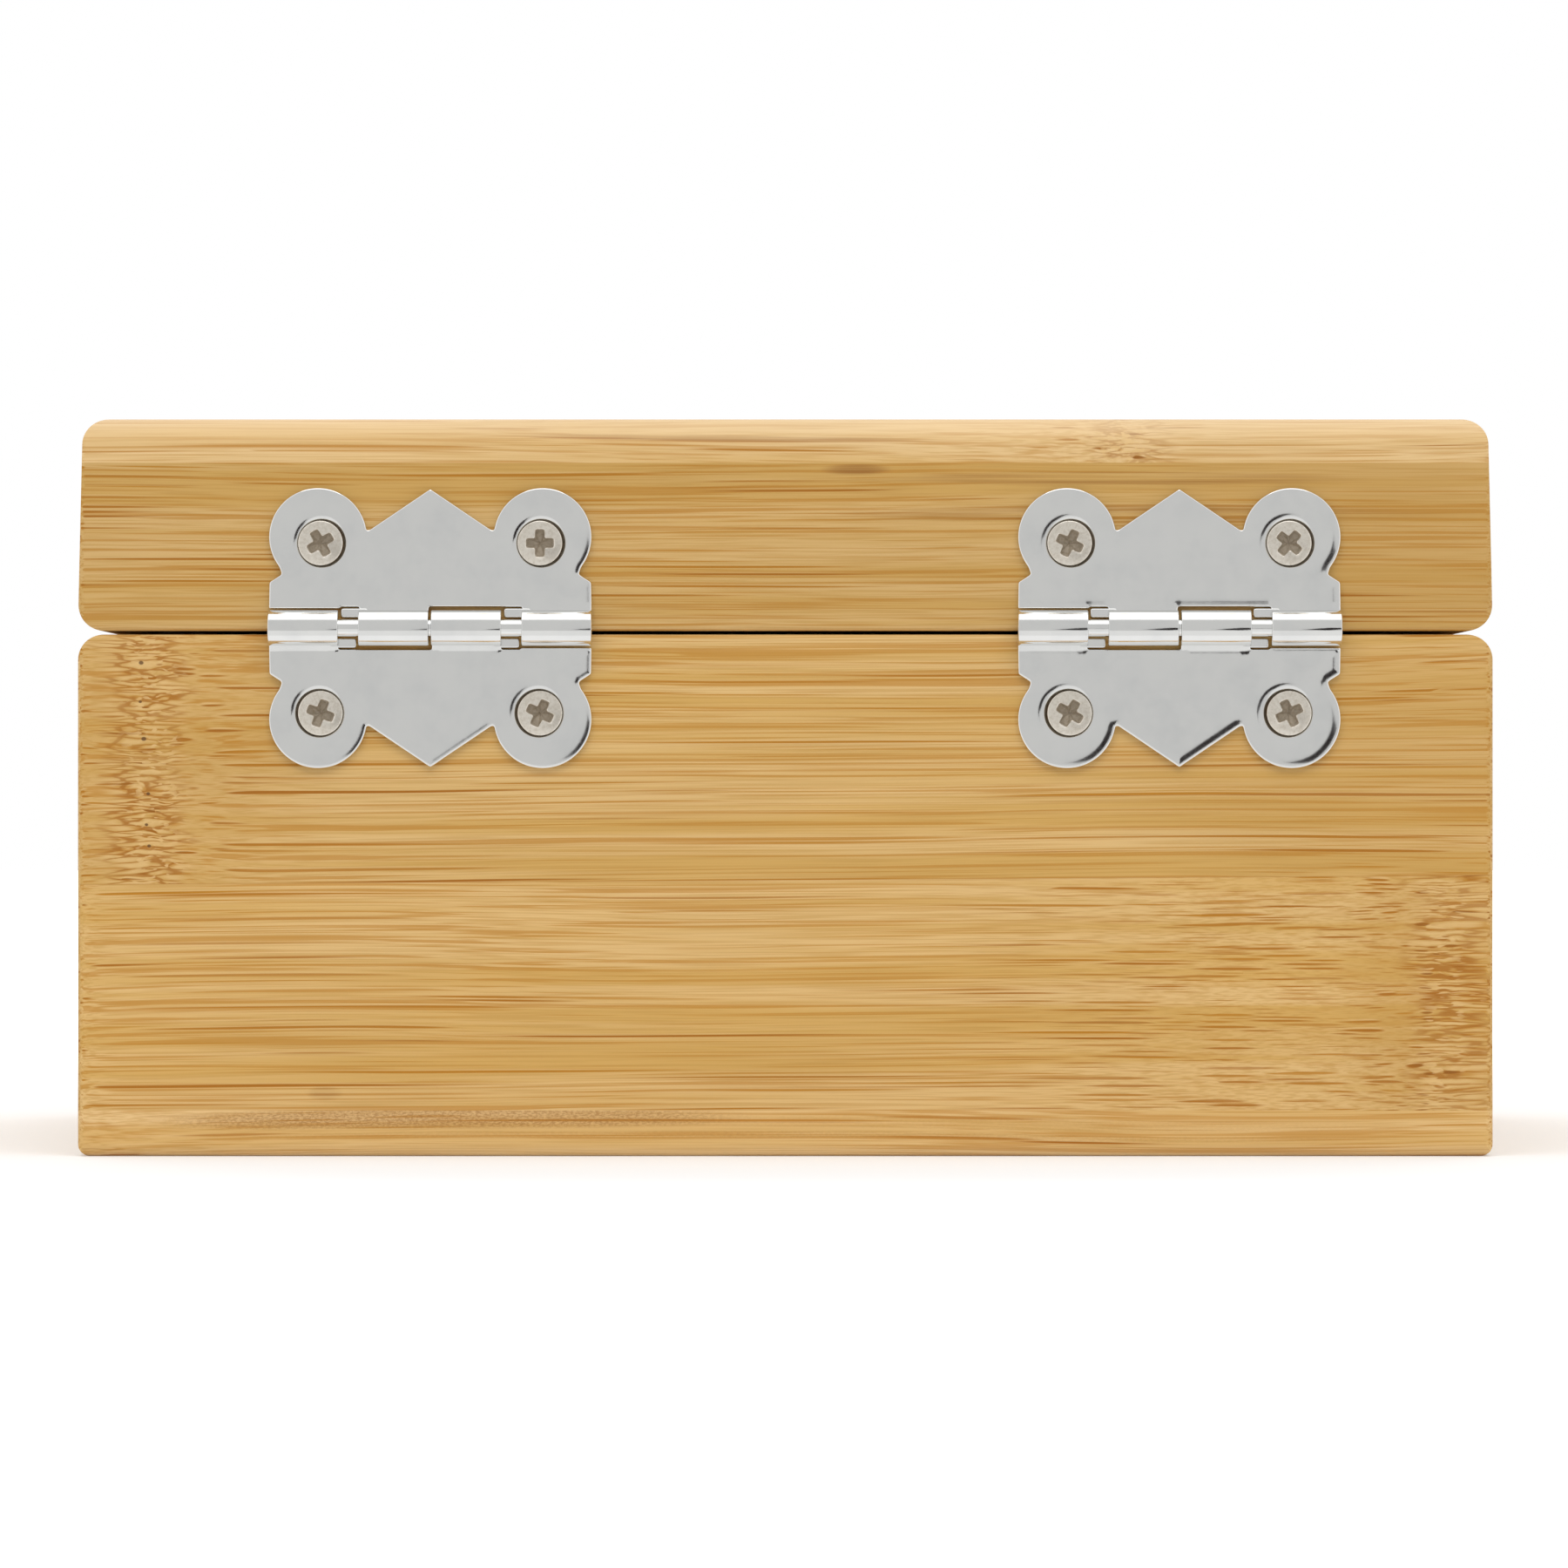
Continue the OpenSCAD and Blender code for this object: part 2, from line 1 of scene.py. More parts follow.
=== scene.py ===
import math
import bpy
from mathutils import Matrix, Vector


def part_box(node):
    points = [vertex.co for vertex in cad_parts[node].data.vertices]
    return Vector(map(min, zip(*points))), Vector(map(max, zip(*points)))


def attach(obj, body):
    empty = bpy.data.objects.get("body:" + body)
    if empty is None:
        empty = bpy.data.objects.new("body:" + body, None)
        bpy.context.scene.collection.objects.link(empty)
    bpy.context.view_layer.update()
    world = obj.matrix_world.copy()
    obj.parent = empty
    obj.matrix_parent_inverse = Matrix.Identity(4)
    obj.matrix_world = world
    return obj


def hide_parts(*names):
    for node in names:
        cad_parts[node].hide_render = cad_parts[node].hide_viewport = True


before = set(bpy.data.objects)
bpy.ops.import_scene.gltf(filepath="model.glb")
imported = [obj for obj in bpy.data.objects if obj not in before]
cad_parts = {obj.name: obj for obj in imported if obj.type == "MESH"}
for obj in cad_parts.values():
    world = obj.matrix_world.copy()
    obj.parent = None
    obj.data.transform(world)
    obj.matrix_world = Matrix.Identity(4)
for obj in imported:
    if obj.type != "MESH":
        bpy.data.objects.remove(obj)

from types import SimpleNamespace
from typing import NamedTuple

import bmesh
import bpy
import numpy as np
from bpy.props import FloatProperty, FloatVectorProperty, PointerProperty
from bpy.types import Operator, Panel, PropertyGroup
from mathutils.geometry import delaunay_2d_cdt

bl_info = {
    "name": "Bamboo tea bag box",
    "version": (1, 0, 0),
    "blender": (4, 5, 0),
    "location": "View3D > Sidebar > Tea box",
    "description": "Bamboo boards, plated hinges and hasp, and the studio of a tea bag organizer box",
    "category": "Object",
}

MM = 0.001  # metres in a millimetre
X, Y, Z = 0, 1, 2  # axes, as places in a vector
SAME_POINT = 2e-7  # metres between two points of a piece that are one
SHARP = math.radians(32)  # angle from which an edge of a piece is shaded sharp
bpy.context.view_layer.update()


# ---- Colours and values ----

def linear(red, green, blue):
    """Linear colour of a display colour in 0 to 255: c/12.92 up to 0.04045, ((c + 0.055)/1.055)^2.4 above."""
    def channel(value):
        c = value / 255
        return c / 12.92 if c <= 0.04045 else ((c + 0.055) / 1.055) ** 2.4
    return channel(red), channel(green), channel(blue)


def rgba(colour):
    return (*colour[:3], 1.0)


class Recipe:
    """Writes the nodes of one material or world: each call adds a node and gives back its output socket."""

    def __init__(self, tree):
        self.tree = tree
        tree.nodes.clear()

    def node(self, kind, values=(), **settings):
        """A node whose inputs take the values in order, or by name from a dict. A value may be a socket."""
        made = self.tree.nodes.new(kind)
        for name, value in settings.items():
            setattr(made, name, value)
        pairs = values.items() if isinstance(values, dict) else enumerate(values)
        for place, value in pairs:
            socket = made.inputs[place]
            if isinstance(value, bpy.types.NodeSocket):
                self.tree.links.new(value, socket)
            elif socket.type == "RGBA" and len(value) == 3:
                socket.default_value = rgba(value)
            else:
                socket.default_value = value
        return made

    def math(self, operation, *values):
        return self.node("ShaderNodeMath", values, operation=operation).outputs[0]

    def size(self, value):
        return self.math("ABSOLUTE", value)

    def line(self, value, slope, start):
        return self.math("MULTIPLY_ADD", value, slope, start)

    def add(self, *values):
        total = values[0]
        for value in values[1:]:
            total = self.math("ADD", total, value)
        return total

    def times(self, *values):
        total = values[0]
        for value in values[1:]:
            total = self.math("MULTIPLY", total, value)
        return total

    def ramp(self, value, low, high, start=0.0, end=1.0):
        """start up to low, end from high on, and a smooth step between. low may be above high."""
        return self.node("ShaderNodeMapRange", (value, low, high, start, end),
                         interpolation_type="SMOOTHSTEP").outputs[0]

    def vector(self, x, y, z):
        return self.node("ShaderNodeCombineXYZ", (x, y, z)).outputs[0]

    def noise(self, vector, detail=2.0, rough=0.5):
        """Noise about 0.5 at one wave per unit of the vector."""
        return self.node("ShaderNodeTexNoise",
                         {"Vector": vector, "Scale": 1.0, "Detail": detail, "Roughness": rough}).outputs[0]

    def cells(self, vector):
        """Distance to the nearest cell's point, one point per unit cube, and that cell's random numbers."""
        made = self.node("ShaderNodeTexVoronoi", {"Vector": vector, "Scale": 1.0, "Randomness": 1.0})
        parts = self.node("ShaderNodeSeparateColor", (made.outputs["Color"],))
        return made.outputs["Distance"], parts.outputs

    def blend(self, share, first, second):
        made = self.tree.nodes.new("ShaderNodeMix")
        made.data_type = "RGBA"
        for place, value in ((0, share), (6, first), (7, second)):
            if isinstance(value, bpy.types.NodeSocket):
                self.tree.links.new(value, made.inputs[place])
            else:
                made.inputs[place].default_value = value if place == 0 else rgba(value)
        return made.outputs[2]

    def scaled(self, vector, factor):
        return self.node("ShaderNodeVectorMath", {0: vector, 3: factor}, operation="SCALE").outputs[0]

    def object_place(self):
        """Object coordinates, in millimetres."""
        return self.scaled(self.node("ShaderNodeTexCoord").outputs["Object"], 1 / MM)

    def seen_directly(self):
        """1 for what the camera sees itself, in a mirror or through glass, and 0 for light on the object."""
        path = self.node("ShaderNodeLightPath").outputs
        mirrored = self.math("MAXIMUM", path["Is Glossy Ray"], path["Is Transmission Ray"])
        return self.math("MAXIMUM", path["Is Camera Ray"], mirrored)

    def coat(self, colour, gloss, relief, strength, depth, **more):
        """The finished material: its colour, roughness, and relief as bump of a depth in millimetres."""
        bump = self.node("ShaderNodeBump", {"Strength": strength, "Distance": depth * MM, "Height": relief})
        surface = self.node("ShaderNodeBsdfPrincipled", {"Base Color": colour, "Roughness": gloss,
                                                         "Normal": bump.outputs[0], **more})
        self.node("ShaderNodeOutputMaterial", {"Surface": surface.outputs[0]})


def new_recipe(name):
    material = bpy.data.materials.new(name)
    material.use_nodes = True
    return material, Recipe(material.node_tree)


# ---- Surfaces ----

class Shell:
    """Gathers the grids and the filled faces of one piece, in millimetres in its own frame."""

    def __init__(self):
        # Each point also keeps its share of dirt and painted shade, which darkens the screws' recesses
        self.points, self.faces, self.dirt, self.count = [], [], [], 0

    def put(self, points, faces, dirt=0.0):
        self.points.append(np.asarray(points, float).reshape(-1, 3))
        self.dirt.append(np.broadcast_to(np.asarray(dirt, float).reshape(-1), len(self.points[-1])))
        self.faces.extend((np.asarray(faces) + self.count).tolist())
        self.count += len(self.points[-1])

    def grid(self, points, wrap=False, dirt=0.0):
        """Quads over a grid of points. wrap joins its last column to its first."""
        rows, columns = points.shape[:2]
        i, j = np.meshgrid(np.arange(rows - 1), np.arange(columns if wrap else columns - 1), indexing="ij")
        here, beside = i * columns + j, i * columns + (j + 1) % columns
        self.put(points, np.stack([here, beside, beside + columns, here + columns], -1).reshape(-1, 4), dirt)

    def piece(self, name, place, material):
        """The mesh, with doubles merged and normals outwards. place takes its points to the row frame."""
        mesh = bpy.data.meshes.new(name)
        mesh.from_pydata((place(np.concatenate(self.points)) * MM).tolist(), [], self.faces)
        # Each point's share of dirt and painted shade, for the screws' material
        mesh.attributes.new("dirt", "FLOAT", "POINT").data.foreach_set("value", np.concatenate(self.dirt))
        work = bmesh.new()
        work.from_mesh(mesh)
        bmesh.ops.remove_doubles(work, verts=work.verts, dist=SAME_POINT)
        bmesh.ops.dissolve_degenerate(work, edges=work.edges, dist=SAME_POINT / 20)
        bmesh.ops.recalc_face_normals(work, faces=work.faces)
        work.to_mesh(mesh)
        work.free()
        mesh.shade_smooth()
        mesh.set_sharp_from_angle(angle=SHARP)
        mesh.materials.append(material)
        made = bpy.data.objects.new(name, mesh)
        bpy.context.scene.collection.objects.link(made)
        return made


def resampled(corners, step):
    """Points at even steps along a closed polyline, by its running length."""
    closed = np.vstack([corners, corners[:1]])
    length = np.concatenate([[0], np.cumsum(np.linalg.norm(np.diff(closed, axis=0), axis=1))])
    at = np.linspace(0, length[-1], int(length[-1] / step), endpoint=False)
    return np.stack([np.interp(at, length, closed[:, axis]) for axis in (0, 1)], 1)


def softened(path, passes):
    """Each pass takes a point to half of itself and a quarter of each neighbour, which rounds corners."""
    for _ in range(passes):
        path = (np.roll(path, 1, 0) + 2 * path + np.roll(path, -1, 0)) / 4
    return path


def inward(path):
    """Unit normals to the left of a closed path: its central difference turned by a quarter."""
    run = np.roll(path, -1, 0) - np.roll(path, 1, 0)
    left = np.stack([-run[:, 1], run[:, 0]], 1)
    return left / np.linalg.norm(left, axis=1, keepdims=True)


def edge_distance(points, path):
    """Distance from points to a closed path: |p - a - t(b - a)|, t = clip((p - a).(b - a)/|b - a|^2)."""
    a, b = path, np.roll(path, -1, 0)
    run = b - a
    away = points[:, None, :] - a[None]
    t = np.clip((away * run[None]).sum(-1) / (run * run).sum(-1)[None], 0, 1)
    return np.linalg.norm(away - t[..., None] * run[None], axis=-1).min(1)


def crossings(points, path):
    """How often a ray from each point towards +x crosses a closed path."""
    a, b = path, np.roll(path, -1, 0)
    spans = (a[None, :, 1] > points[:, None, 1]) != (b[None, :, 1] > points[:, None, 1])
    with np.errstate(divide="ignore", invalid="ignore"):
        at = a[None, :, 0] + (points[:, None, 1] - a[None, :, 1]) * (b - a)[None, :, 0] / (b - a)[None, :, 1]
    return (spans & (points[:, None, 0] < at)).sum(1)


def is_inside(points, path):
    return crossings(points, path) % 2 == 1


def circle(centre, radius, count=72):
    turn = np.linspace(0, 2 * math.pi, count, endpoint=False)
    return np.array(centre) + radius * np.stack([np.cos(turn), np.sin(turn)], 1)


def filled(loops, inner):
    """Triangles inside the first closed loop and outside the others, through the inner points."""
    points = np.concatenate([*loops, inner])
    edges, start = [], 0
    for loop in loops:
        count = np.arange(len(loop))
        edges += np.stack([start + count, start + (count + 1) % len(loop)], 1).tolist()
        start += len(loop)
    flat, _, faces, *_ = delaunay_2d_cdt([Vector(point) for point in points], edges, [], 0, 1e-7)
    flat = np.array([tuple(point) for point in flat])
    faces = np.array([face for face in faces if len(face) == 3])
    crossed = sum(crossings(flat[faces].mean(1), loop) for loop in loops)
    return flat, faces[crossed % 2 == 1]


def stamped_sheet(shell, outline, bottom, thick, rim, crown, run, holes=(), lift=None, spacing=0.35):
    """Stamped sheet over a closed outline that turns left.

    Its top falls towards the edge by crown*(1 - d/run)^2 at the distance d from the edge, then turns over
    the rim in a quarter circle, and runs down the side to the flat back. Each hole (centre, radius, dip,
    reach) has a lip that falls by dip*(1 - (d - radius)/reach)^2 at the distance d from its centre, and a
    cone. lift bends the sheet up: it takes the points across it and gives their rise."""
    normal = inward(outline)

    def top(flat):
        away = edge_distance(flat, outline)
        height = bottom + thick - crown * np.clip(1 - away / run, 0, 1) ** 2
        for centre, radius, dip, reach in holes:
            away = np.linalg.norm(flat - np.array(centre), axis=1)
            height = height - dip * np.clip(1 - (away - radius) / reach, 0, 1) ** 2
        return height

    def raised(flat, height):
        rise = lift(flat) if lift else 0.0
        return np.column_stack([flat, np.broadcast_to(height + rise, len(flat))])

    turn = np.linspace(0, math.pi / 2, 5)
    inner_loop = outline + rim * normal
    shoulder = top(inner_loop)
    rows = [raised(outline + rim * (1 - math.sin(t)) * normal, shoulder - rim * (1 - math.cos(t)))
            for t in turn]
    small = 0.3 * rim
    rows += [raised(outline, bottom + small), raised(outline + small * normal, bottom)]
    shell.grid(np.array(rows), wrap=True)

    low, high = outline.min(0), outline.max(0)
    x, y = np.meshgrid(np.arange(low[0], high[0], spacing), np.arange(low[1], high[1], spacing))
    inner = np.stack([x.ravel(), y.ravel()], 1)
    keep = (edge_distance(inner, outline) > run + 0.5 * spacing) & is_inside(inner, outline)
    for share in (0.12, 0.27, 0.45, 0.7, 1.0):  # rows of points over the fall, closer near the rim
        offset = rim + share * (run - rim)
        row = (outline + offset * normal)[::2]
        inner = np.vstack([inner, row])
        keep = np.append(keep, (edge_distance(row, outline) > 0.98 * offset) & is_inside(row, outline))
    loops, back_loops = [inner_loop], [outline + small * normal]
    for centre, radius, _, reach in holes:
        keep &= np.linalg.norm(inner - np.array(centre), axis=1) > radius + reach + 0.5 * spacing
    cone = 0.8 * thick  # how much smaller a hole is at the back
    for centre, radius, _, reach in holes:
        for share in (0.08, 0.2, 0.4, 0.7, 1.0):
            inner = np.vstack([inner, circle(centre, radius + share * reach)])
            keep = np.append(keep, np.ones(len(inner) - len(keep), bool))
        loops.append(circle(centre, radius))
        back_loops.append(circle(centre, radius - cone))
        rows = []
        lip = top(loops[-1])
        for share in np.linspace(0, 1, 4):
            height = lip * (1 - share) + bottom * share
            rows.append(raised(circle(centre, radius - cone * share), height))
        shell.grid(np.array(rows), wrap=True)
    flat, faces = filled(loops, inner[keep])
    shell.put(raised(flat, top(flat)), faces)
    flat, faces = filled(back_loops, np.zeros((0, 2)))
    shell.put(raised(flat, bottom), faces)


def rolled_knuckle(shell, start, length, bore, thick, lift, root, seam, rim):
    """A knuckle rolled from the sheet: the section runs from the root under the pin, in an arc round it, and
    ends in the seam. Point = middle line +- half*normal, carried along x, with half drawn in by the rim at
    both ends."""
    mid_r, centre = bore + thick / 2, lift + bore + thick
    flat_y = np.linspace(root, 0, 6, endpoint=False)
    outer_end = -360 + math.degrees(math.asin((lift + thick + seam - centre) / (bore + thick)))
    inner_end = -360 - 90 + math.degrees(math.acos(min(1.0, (centre - lift - thick - seam) / bore)))
    share = np.linspace(0, 1, 72)

    def section(draw):
        half = thick / 2 - draw
        sides = []
        for radius, end, height in ((mid_r + half, outer_end, lift + draw),
                                    (mid_r - half, inner_end, lift + thick - draw)):
            turn = np.radians(-90 + share * (end + 90))
            flat = np.column_stack([flat_y, np.full(len(flat_y), height)])
            arc = np.column_stack([radius * np.cos(turn), centre + radius * np.sin(turn)])
            sides.append(np.vstack([flat, arc]))
        return sides

    turn = np.linspace(0, math.pi / 2, 5)
    into = rim * (1 - np.cos(turn))
    draws = rim * (1 - np.sin(turn))
    places = np.concatenate([start + into, (start + length - into)[::-1]])
    rows = []
    for x, draw in zip(places, np.concatenate([draws, draws[::-1]])):
        out, inn = section(draw)
        loop = np.vstack([out, inn[::-1]])
        rows.append(np.column_stack([np.full(len(loop), x), loop]))
    shell.grid(np.array(rows), wrap=True)
    for x in (places[0], places[-1]):
        shell.grid(np.array([np.column_stack([np.full(len(side), x), side]) for side in section(rim)]))


def spun(points, turn):
    return points @ np.array([[math.cos(turn), math.sin(turn)], [-math.sin(turn), math.cos(turn)]])


def cross_outline(tip, half, count):
    """A plus sign whose arms reach to tip and are 2*half wide, with soft corners, turning left."""
    arm = np.array([[tip, -half], [tip, half], [half * 1.15, half * 1.15]])
    corners = np.concatenate([spun(arm, quarter * math.pi / 2) for quarter in range(4)])
    return softened(resampled(corners, 8 * tip / count), 3)


def screw_surface(shell, centre, turn, head_d, shank_d, length, proud):
    """A countersunk screw with a cross recess: rings between the middle of the recess, its floor, the cross
    outline, the rounded rim of the head, the cone and the shank. Each ring is the cross's own points, drawn
    to the ring's radius: point = cross*(1 - s) + radius*cross/|cross|*s."""
    head_r, shank_r = head_d / 2, shank_d / 2
    cross = spun(cross_outline(0.63 * head_r, 0.195 * head_r, 112), turn)
    ray = cross / np.linalg.norm(cross, axis=1, keepdims=True)
    top = (head_d - shank_d) / 2 + proud  # the cone of the seat is at 45 degrees
    dome = 0.05 * head_d

    def ring(flat, height):
        return np.column_stack([flat + np.array(centre), np.broadcast_to(height, len(flat))])

    def domed(flat):
        return top + dome * (1 - (np.linalg.norm(flat, axis=1) / head_r) ** 2)

    lip = domed(cross)
    # The first number of each row is its share of dirt and painted shade: 1 deep in the recess, falling to 0
    # at the lip of the cross, and high again under the head, where shade falls
    rows = [(1.0, ring(0.02 * cross, top - 0.26 * head_d)),
            (1.0, ring(0.30 * cross, top - 0.20 * head_d)),
            (1.0, ring(0.70 * cross, top - 0.15 * head_d)),
            (1.0, ring(0.86 * cross, top - 0.10 * head_d)),
            (0.6, ring(0.93 * cross, lip - 0.05 * head_d)),
            (0.1, ring(0.965 * cross, lip - 0.018 * head_d)),
            (0.0, ring(0.99 * cross, lip - 0.004 * head_d)),
            (0.0, ring(cross + 0.02 * head_r * ray, lip + 0.003 * head_d))]
    for share in (0.25, 0.5, 0.75):
        flat = cross * (1 - share) + 0.93 * head_r * ray * share
        rows.append((0.0, ring(flat, domed(flat))))
    rim = 0.05 * head_r
    for step in np.linspace(0, math.pi / 2, 4):
        radius = head_r - rim + rim * math.sin(step)
        rows.append((0.0, ring(radius * ray, top + dome * 0.1 - rim * (1 - math.cos(step)))))
    rows += [(0.8, ring((head_r - 0.3 * rim) * ray, top - 2 * rim)), (1.0, ring(shank_r * ray, 0.0)),
             (0.0, ring(shank_r * ray, -length + shank_r)), (0.0, ring(0.02 * ray, -length))]
    dirt = np.repeat([share for share, _ in rows], len(cross))
    shell.grid(np.array([row for _, row in rows]), wrap=True, dirt=dirt)
    count = len(cross)
    fan = [(k, (k + 1) % count, count) for k in range(count)]
    for share, row in (rows[0], rows[-1]):
        shell.put(np.vstack([row, row.mean(0)]), fan, share)


# ---- Bamboo ----

LOWEST = -99  # a joint below every board, for its lowest strip


class Strip(NamedTuple):
    """One glued strip of a board, in millimetres along the grain and across it."""
    joint: float  # where it meets the strip below
    node_at: float  # where its culm node lies along the grain
    side: int  # the direction in which the short dashes run from the node
    short_run: float  # how far they reach
    tone: float  # how much paler it is
    seed: float
    tuft_l: float = 4.6  # length of the tufts at the node


def glued_rows(first, start, width, short_run, seed, seed_step, rows):
    """Strips of one width above the first. Each row says where its node lies, its side and its tone."""
    return [first] + [Strip(start + width * place, node_at, side, short_run * (place % 2), tone,
                            seed + seed_step * place) for place, (node_at, side, tone) in enumerate(rows)]


def by_strip(r, choice, strips, field):
    """The field's value in the strip that a point lies in: the lowest strip's, with a step at each joint."""
    value = getattr(strips[0], field)
    for is_above, strip in zip(choice, strips[1:]):
        value = r.node("ShaderNodeMix", {0: is_above, 2: value, 3: getattr(strip, field)}).outputs[0]
    return value


def bamboo(node, look, axes, strips, slope=0.0, stains=(), specks=(), pits=(), warm=(), cream=0.0, ends=(),
           dash_l=120, painted_top_highlight=None):
    """Gives a node bamboo with its fibres along axes[0] and its strips beside each other along axes[1].

    The vascular bundles are the points of a cell pattern stretched along the grain: the distance in the
    stretched space gives a long thin dash that tapers at both ends, and a dot on end grain. Close to a culm
    node, and at the ends, the stretch falls (along = a/long + sum of height*tanh((a - place)/run)), so that
    the dashes shorten there. Patches of warm, stains and specks are (depth, places, spans) in mm."""
    material, r = new_recipe(f"bamboo_{node}")
    parts = r.node("ShaderNodeSeparateXYZ", (r.object_place(),)).outputs
    a, b, c = (parts[axis] for axis in axes)
    level = r.add(b, r.times(a, -slope)) if slope else b
    choice = [r.math("GREATER_THAN", level, strip.joint) for strip in strips[1:]]
    seed, node_at, side, short_run, tone, tuft_l = (
        by_strip(r, choice, strips, field)
        for field in ("seed", "node_at", "side", "short_run", "tone", "tuft_l"))

    def waves(values, lengths, detail, rough=0.5, own=True):
        """Noise with waves of these lengths, in mm, along the values. own shifts it in each strip."""
        x, y, z = (r.times(value, 1 / length) for value, length in zip(values, lengths))
        return r.noise(r.vector(x, r.add(y, seed) if own else y, z), detail, rough)

    from_node = r.times(r.math("SUBTRACT", a, node_at), side)
    zigzag = r.noise(r.vector(r.add(seed, 3.3), r.times(b, 0.6), r.times(c, 0.5)), 3.0)
    from_core = r.add(from_node, r.line(zigzag, 8.0, -4.0))
    core = r.ramp(r.size(from_core), 4.5, 0.5)
    zone = r.math("MULTIPLY", r.ramp(from_core, -5.5, -1.0), r.ramp(from_core, 12.0, 5.0))

    # Rows waver softly along the board and sharply at the node
    calm = waves((a, b, c), (120, 30, 30), 1.0)
    small = waves((a, b, c), (34, 5, 5), 1.0)
    curl = waves((a, b, c), (3.0, 1.8, 1.8), 1.0)
    swerve = r.noise(r.vector(r.add(seed, 8.1), r.times(b, 1 / 3.2), r.times(c, 1 / 4)), 1.0)
    bend = r.add(r.line(calm, 3.0, -1.5), r.line(small, 0.30, -0.15),
                 r.times(r.math("SUBTRACT", curl, 0.5), r.math("DIVIDE", core, tuft_l), 4.1),
                 r.times(r.math("SUBTRACT", swerve, 0.5), r.ramp(r.size(from_core), 13.0, 0.0), 2.2))
    row = r.add(level, bend)
    deep = r.add(c, bend)

    short_zone = r.times(r.ramp(from_node, -2.0, 2.0), r.ramp(from_node, r.add(short_run, 12.0), short_run),
                         r.ramp(short_run, 0.0, 30.0))
    broad = r.line(short_zone, -0.05, 1.0)
    past_core = r.times(r.add(from_node, -2.5), r.ramp(from_node, -3.0, 3.0, 2.2, 1.0))

    def along(long, height, run, wide_height):
        """Place along the grain, in dashes of a length: shorter by the node and over the short run."""
        def step(value, width):
            return r.math("TANH", r.times(value, 1 / width))
        near = r.times(step(past_core, run), height)
        wide = r.times(step(r.add(from_node, r.times(short_run, -0.5)), 17), short_run, wide_height)
        total = r.add(r.times(from_node, 1 / long), near, wide, r.times(seed, 7.7))
        for place, width in ends:
            total = r.add(total, r.times(step(r.add(a, -place), width), 0.6))
        return total

    def bundles(place_along, gap, low, high, offset, shift=0.0):
        """Mask of dashes, and each one's random numbers. low and high are the edge of the largest, in mm."""
        place = r.vector(r.add(place_along, offset),
                         r.add(r.times(r.add(row, shift) if shift else row, 1 / gap), seed),
                         r.add(r.times(deep, 1 / gap), offset))
        distance, randoms = r.cells(place)
        edge = r.times(r.line(randoms[0], 0.5, 0.5), broad, high / gap)
        return r.ramp(r.math("SUBTRACT", distance, edge), 0.0, (low - high) / gap), randoms

    strong_along = along(dash_l, 1.3, 5.5, 0.020)
    strong, strong_randoms = bundles(strong_along, 0.58, 0.13, 0.22, 0.0)
    middle_along = along(0.75 * dash_l, 1.5, 5.0, 0.026)
    middle, middle_randoms = bundles(middle_along, 0.31, 0.05, 0.125, 5.0)
    dense, dense_randoms = bundles(along(0.8 * dash_l, 1.0, 5.5, 0.034), 0.42, 0.14, 0.215, 9.0)
    # A copy of the strong dashes a little lower across the rows, laid on pale: pale fibre beside each dash,
    # and a painted highlight beside it for a raised look, stronger at the node
    glint, _ = bundles(strong_along, 0.58, 0.10, 0.20, 0.0, -0.22)
    thread = along(0.85 * dash_l, 1.2, 9.0, 0.04)
    lines = waves((thread, row, deep), (1, 0.50, 0.50), 2.0, 0.65)
    fibre = waves((thread, row, deep), (0.20, 0.20, 0.20), 1.0, 0.6, own=False)
    band = waves((a, row, deep), (130, 2.6, 2.6), 2.0, 0.6)
    cloud = waves((a, b, c), (30, 9, 9), 2.0)
    tuft_place = r.vector(r.math("DIVIDE", r.add(from_node, r.times(band, 9.0)), tuft_l),
                          r.add(r.times(row, 1 / 0.52), seed), r.times(deep, 1 / 0.52))
    tuft = r.node("ShaderNodeTexVoronoi", {"Vector": tuft_place, "Scale": 1.0, "Randomness": 1.0},
                  feature="DISTANCE_TO_EDGE").outputs["Distance"]
    # Dark rims of the tufts: painted shade for a raised look
    tuft_rim_shade = r.ramp(tuft, 0.13, 0.04)

    def reach(values, places, spans, power):
        """0 at the middle of a patch and 1 at its rim: the sum of |(value - place)/span| to the power."""
        return r.add(*(r.math("POWER", r.size(r.times(r.add(value, -place), 1 / span)), power)
                       for value, place, span in zip(values, places, spans) if span))

    pale = r.blend(cream, look.pale, look.cream) if cream else look.pale
    base = r.blend(0.75 * cream, look.ground, look.cream) if cream else look.ground
    ground = r.blend(r.ramp(band, 0.36, 0.64), pale, base)
    ground = r.blend(r.times(r.ramp(fibre, 0.42, 0.66), 0.50 * (1 - 0.6 * cream)), ground, look.fibre)
    for depth, places, spans in warm:
        patch = r.ramp(reach((a, b), places, spans, 2.0), 1.0, 0.0)
        ground = r.blend(r.times(patch, depth), ground, look.fibre)
    faint = 1 - 0.6 * cream
    near_core = r.ramp(r.size(r.add(from_core, 0.8)), 6.0, 2.5)
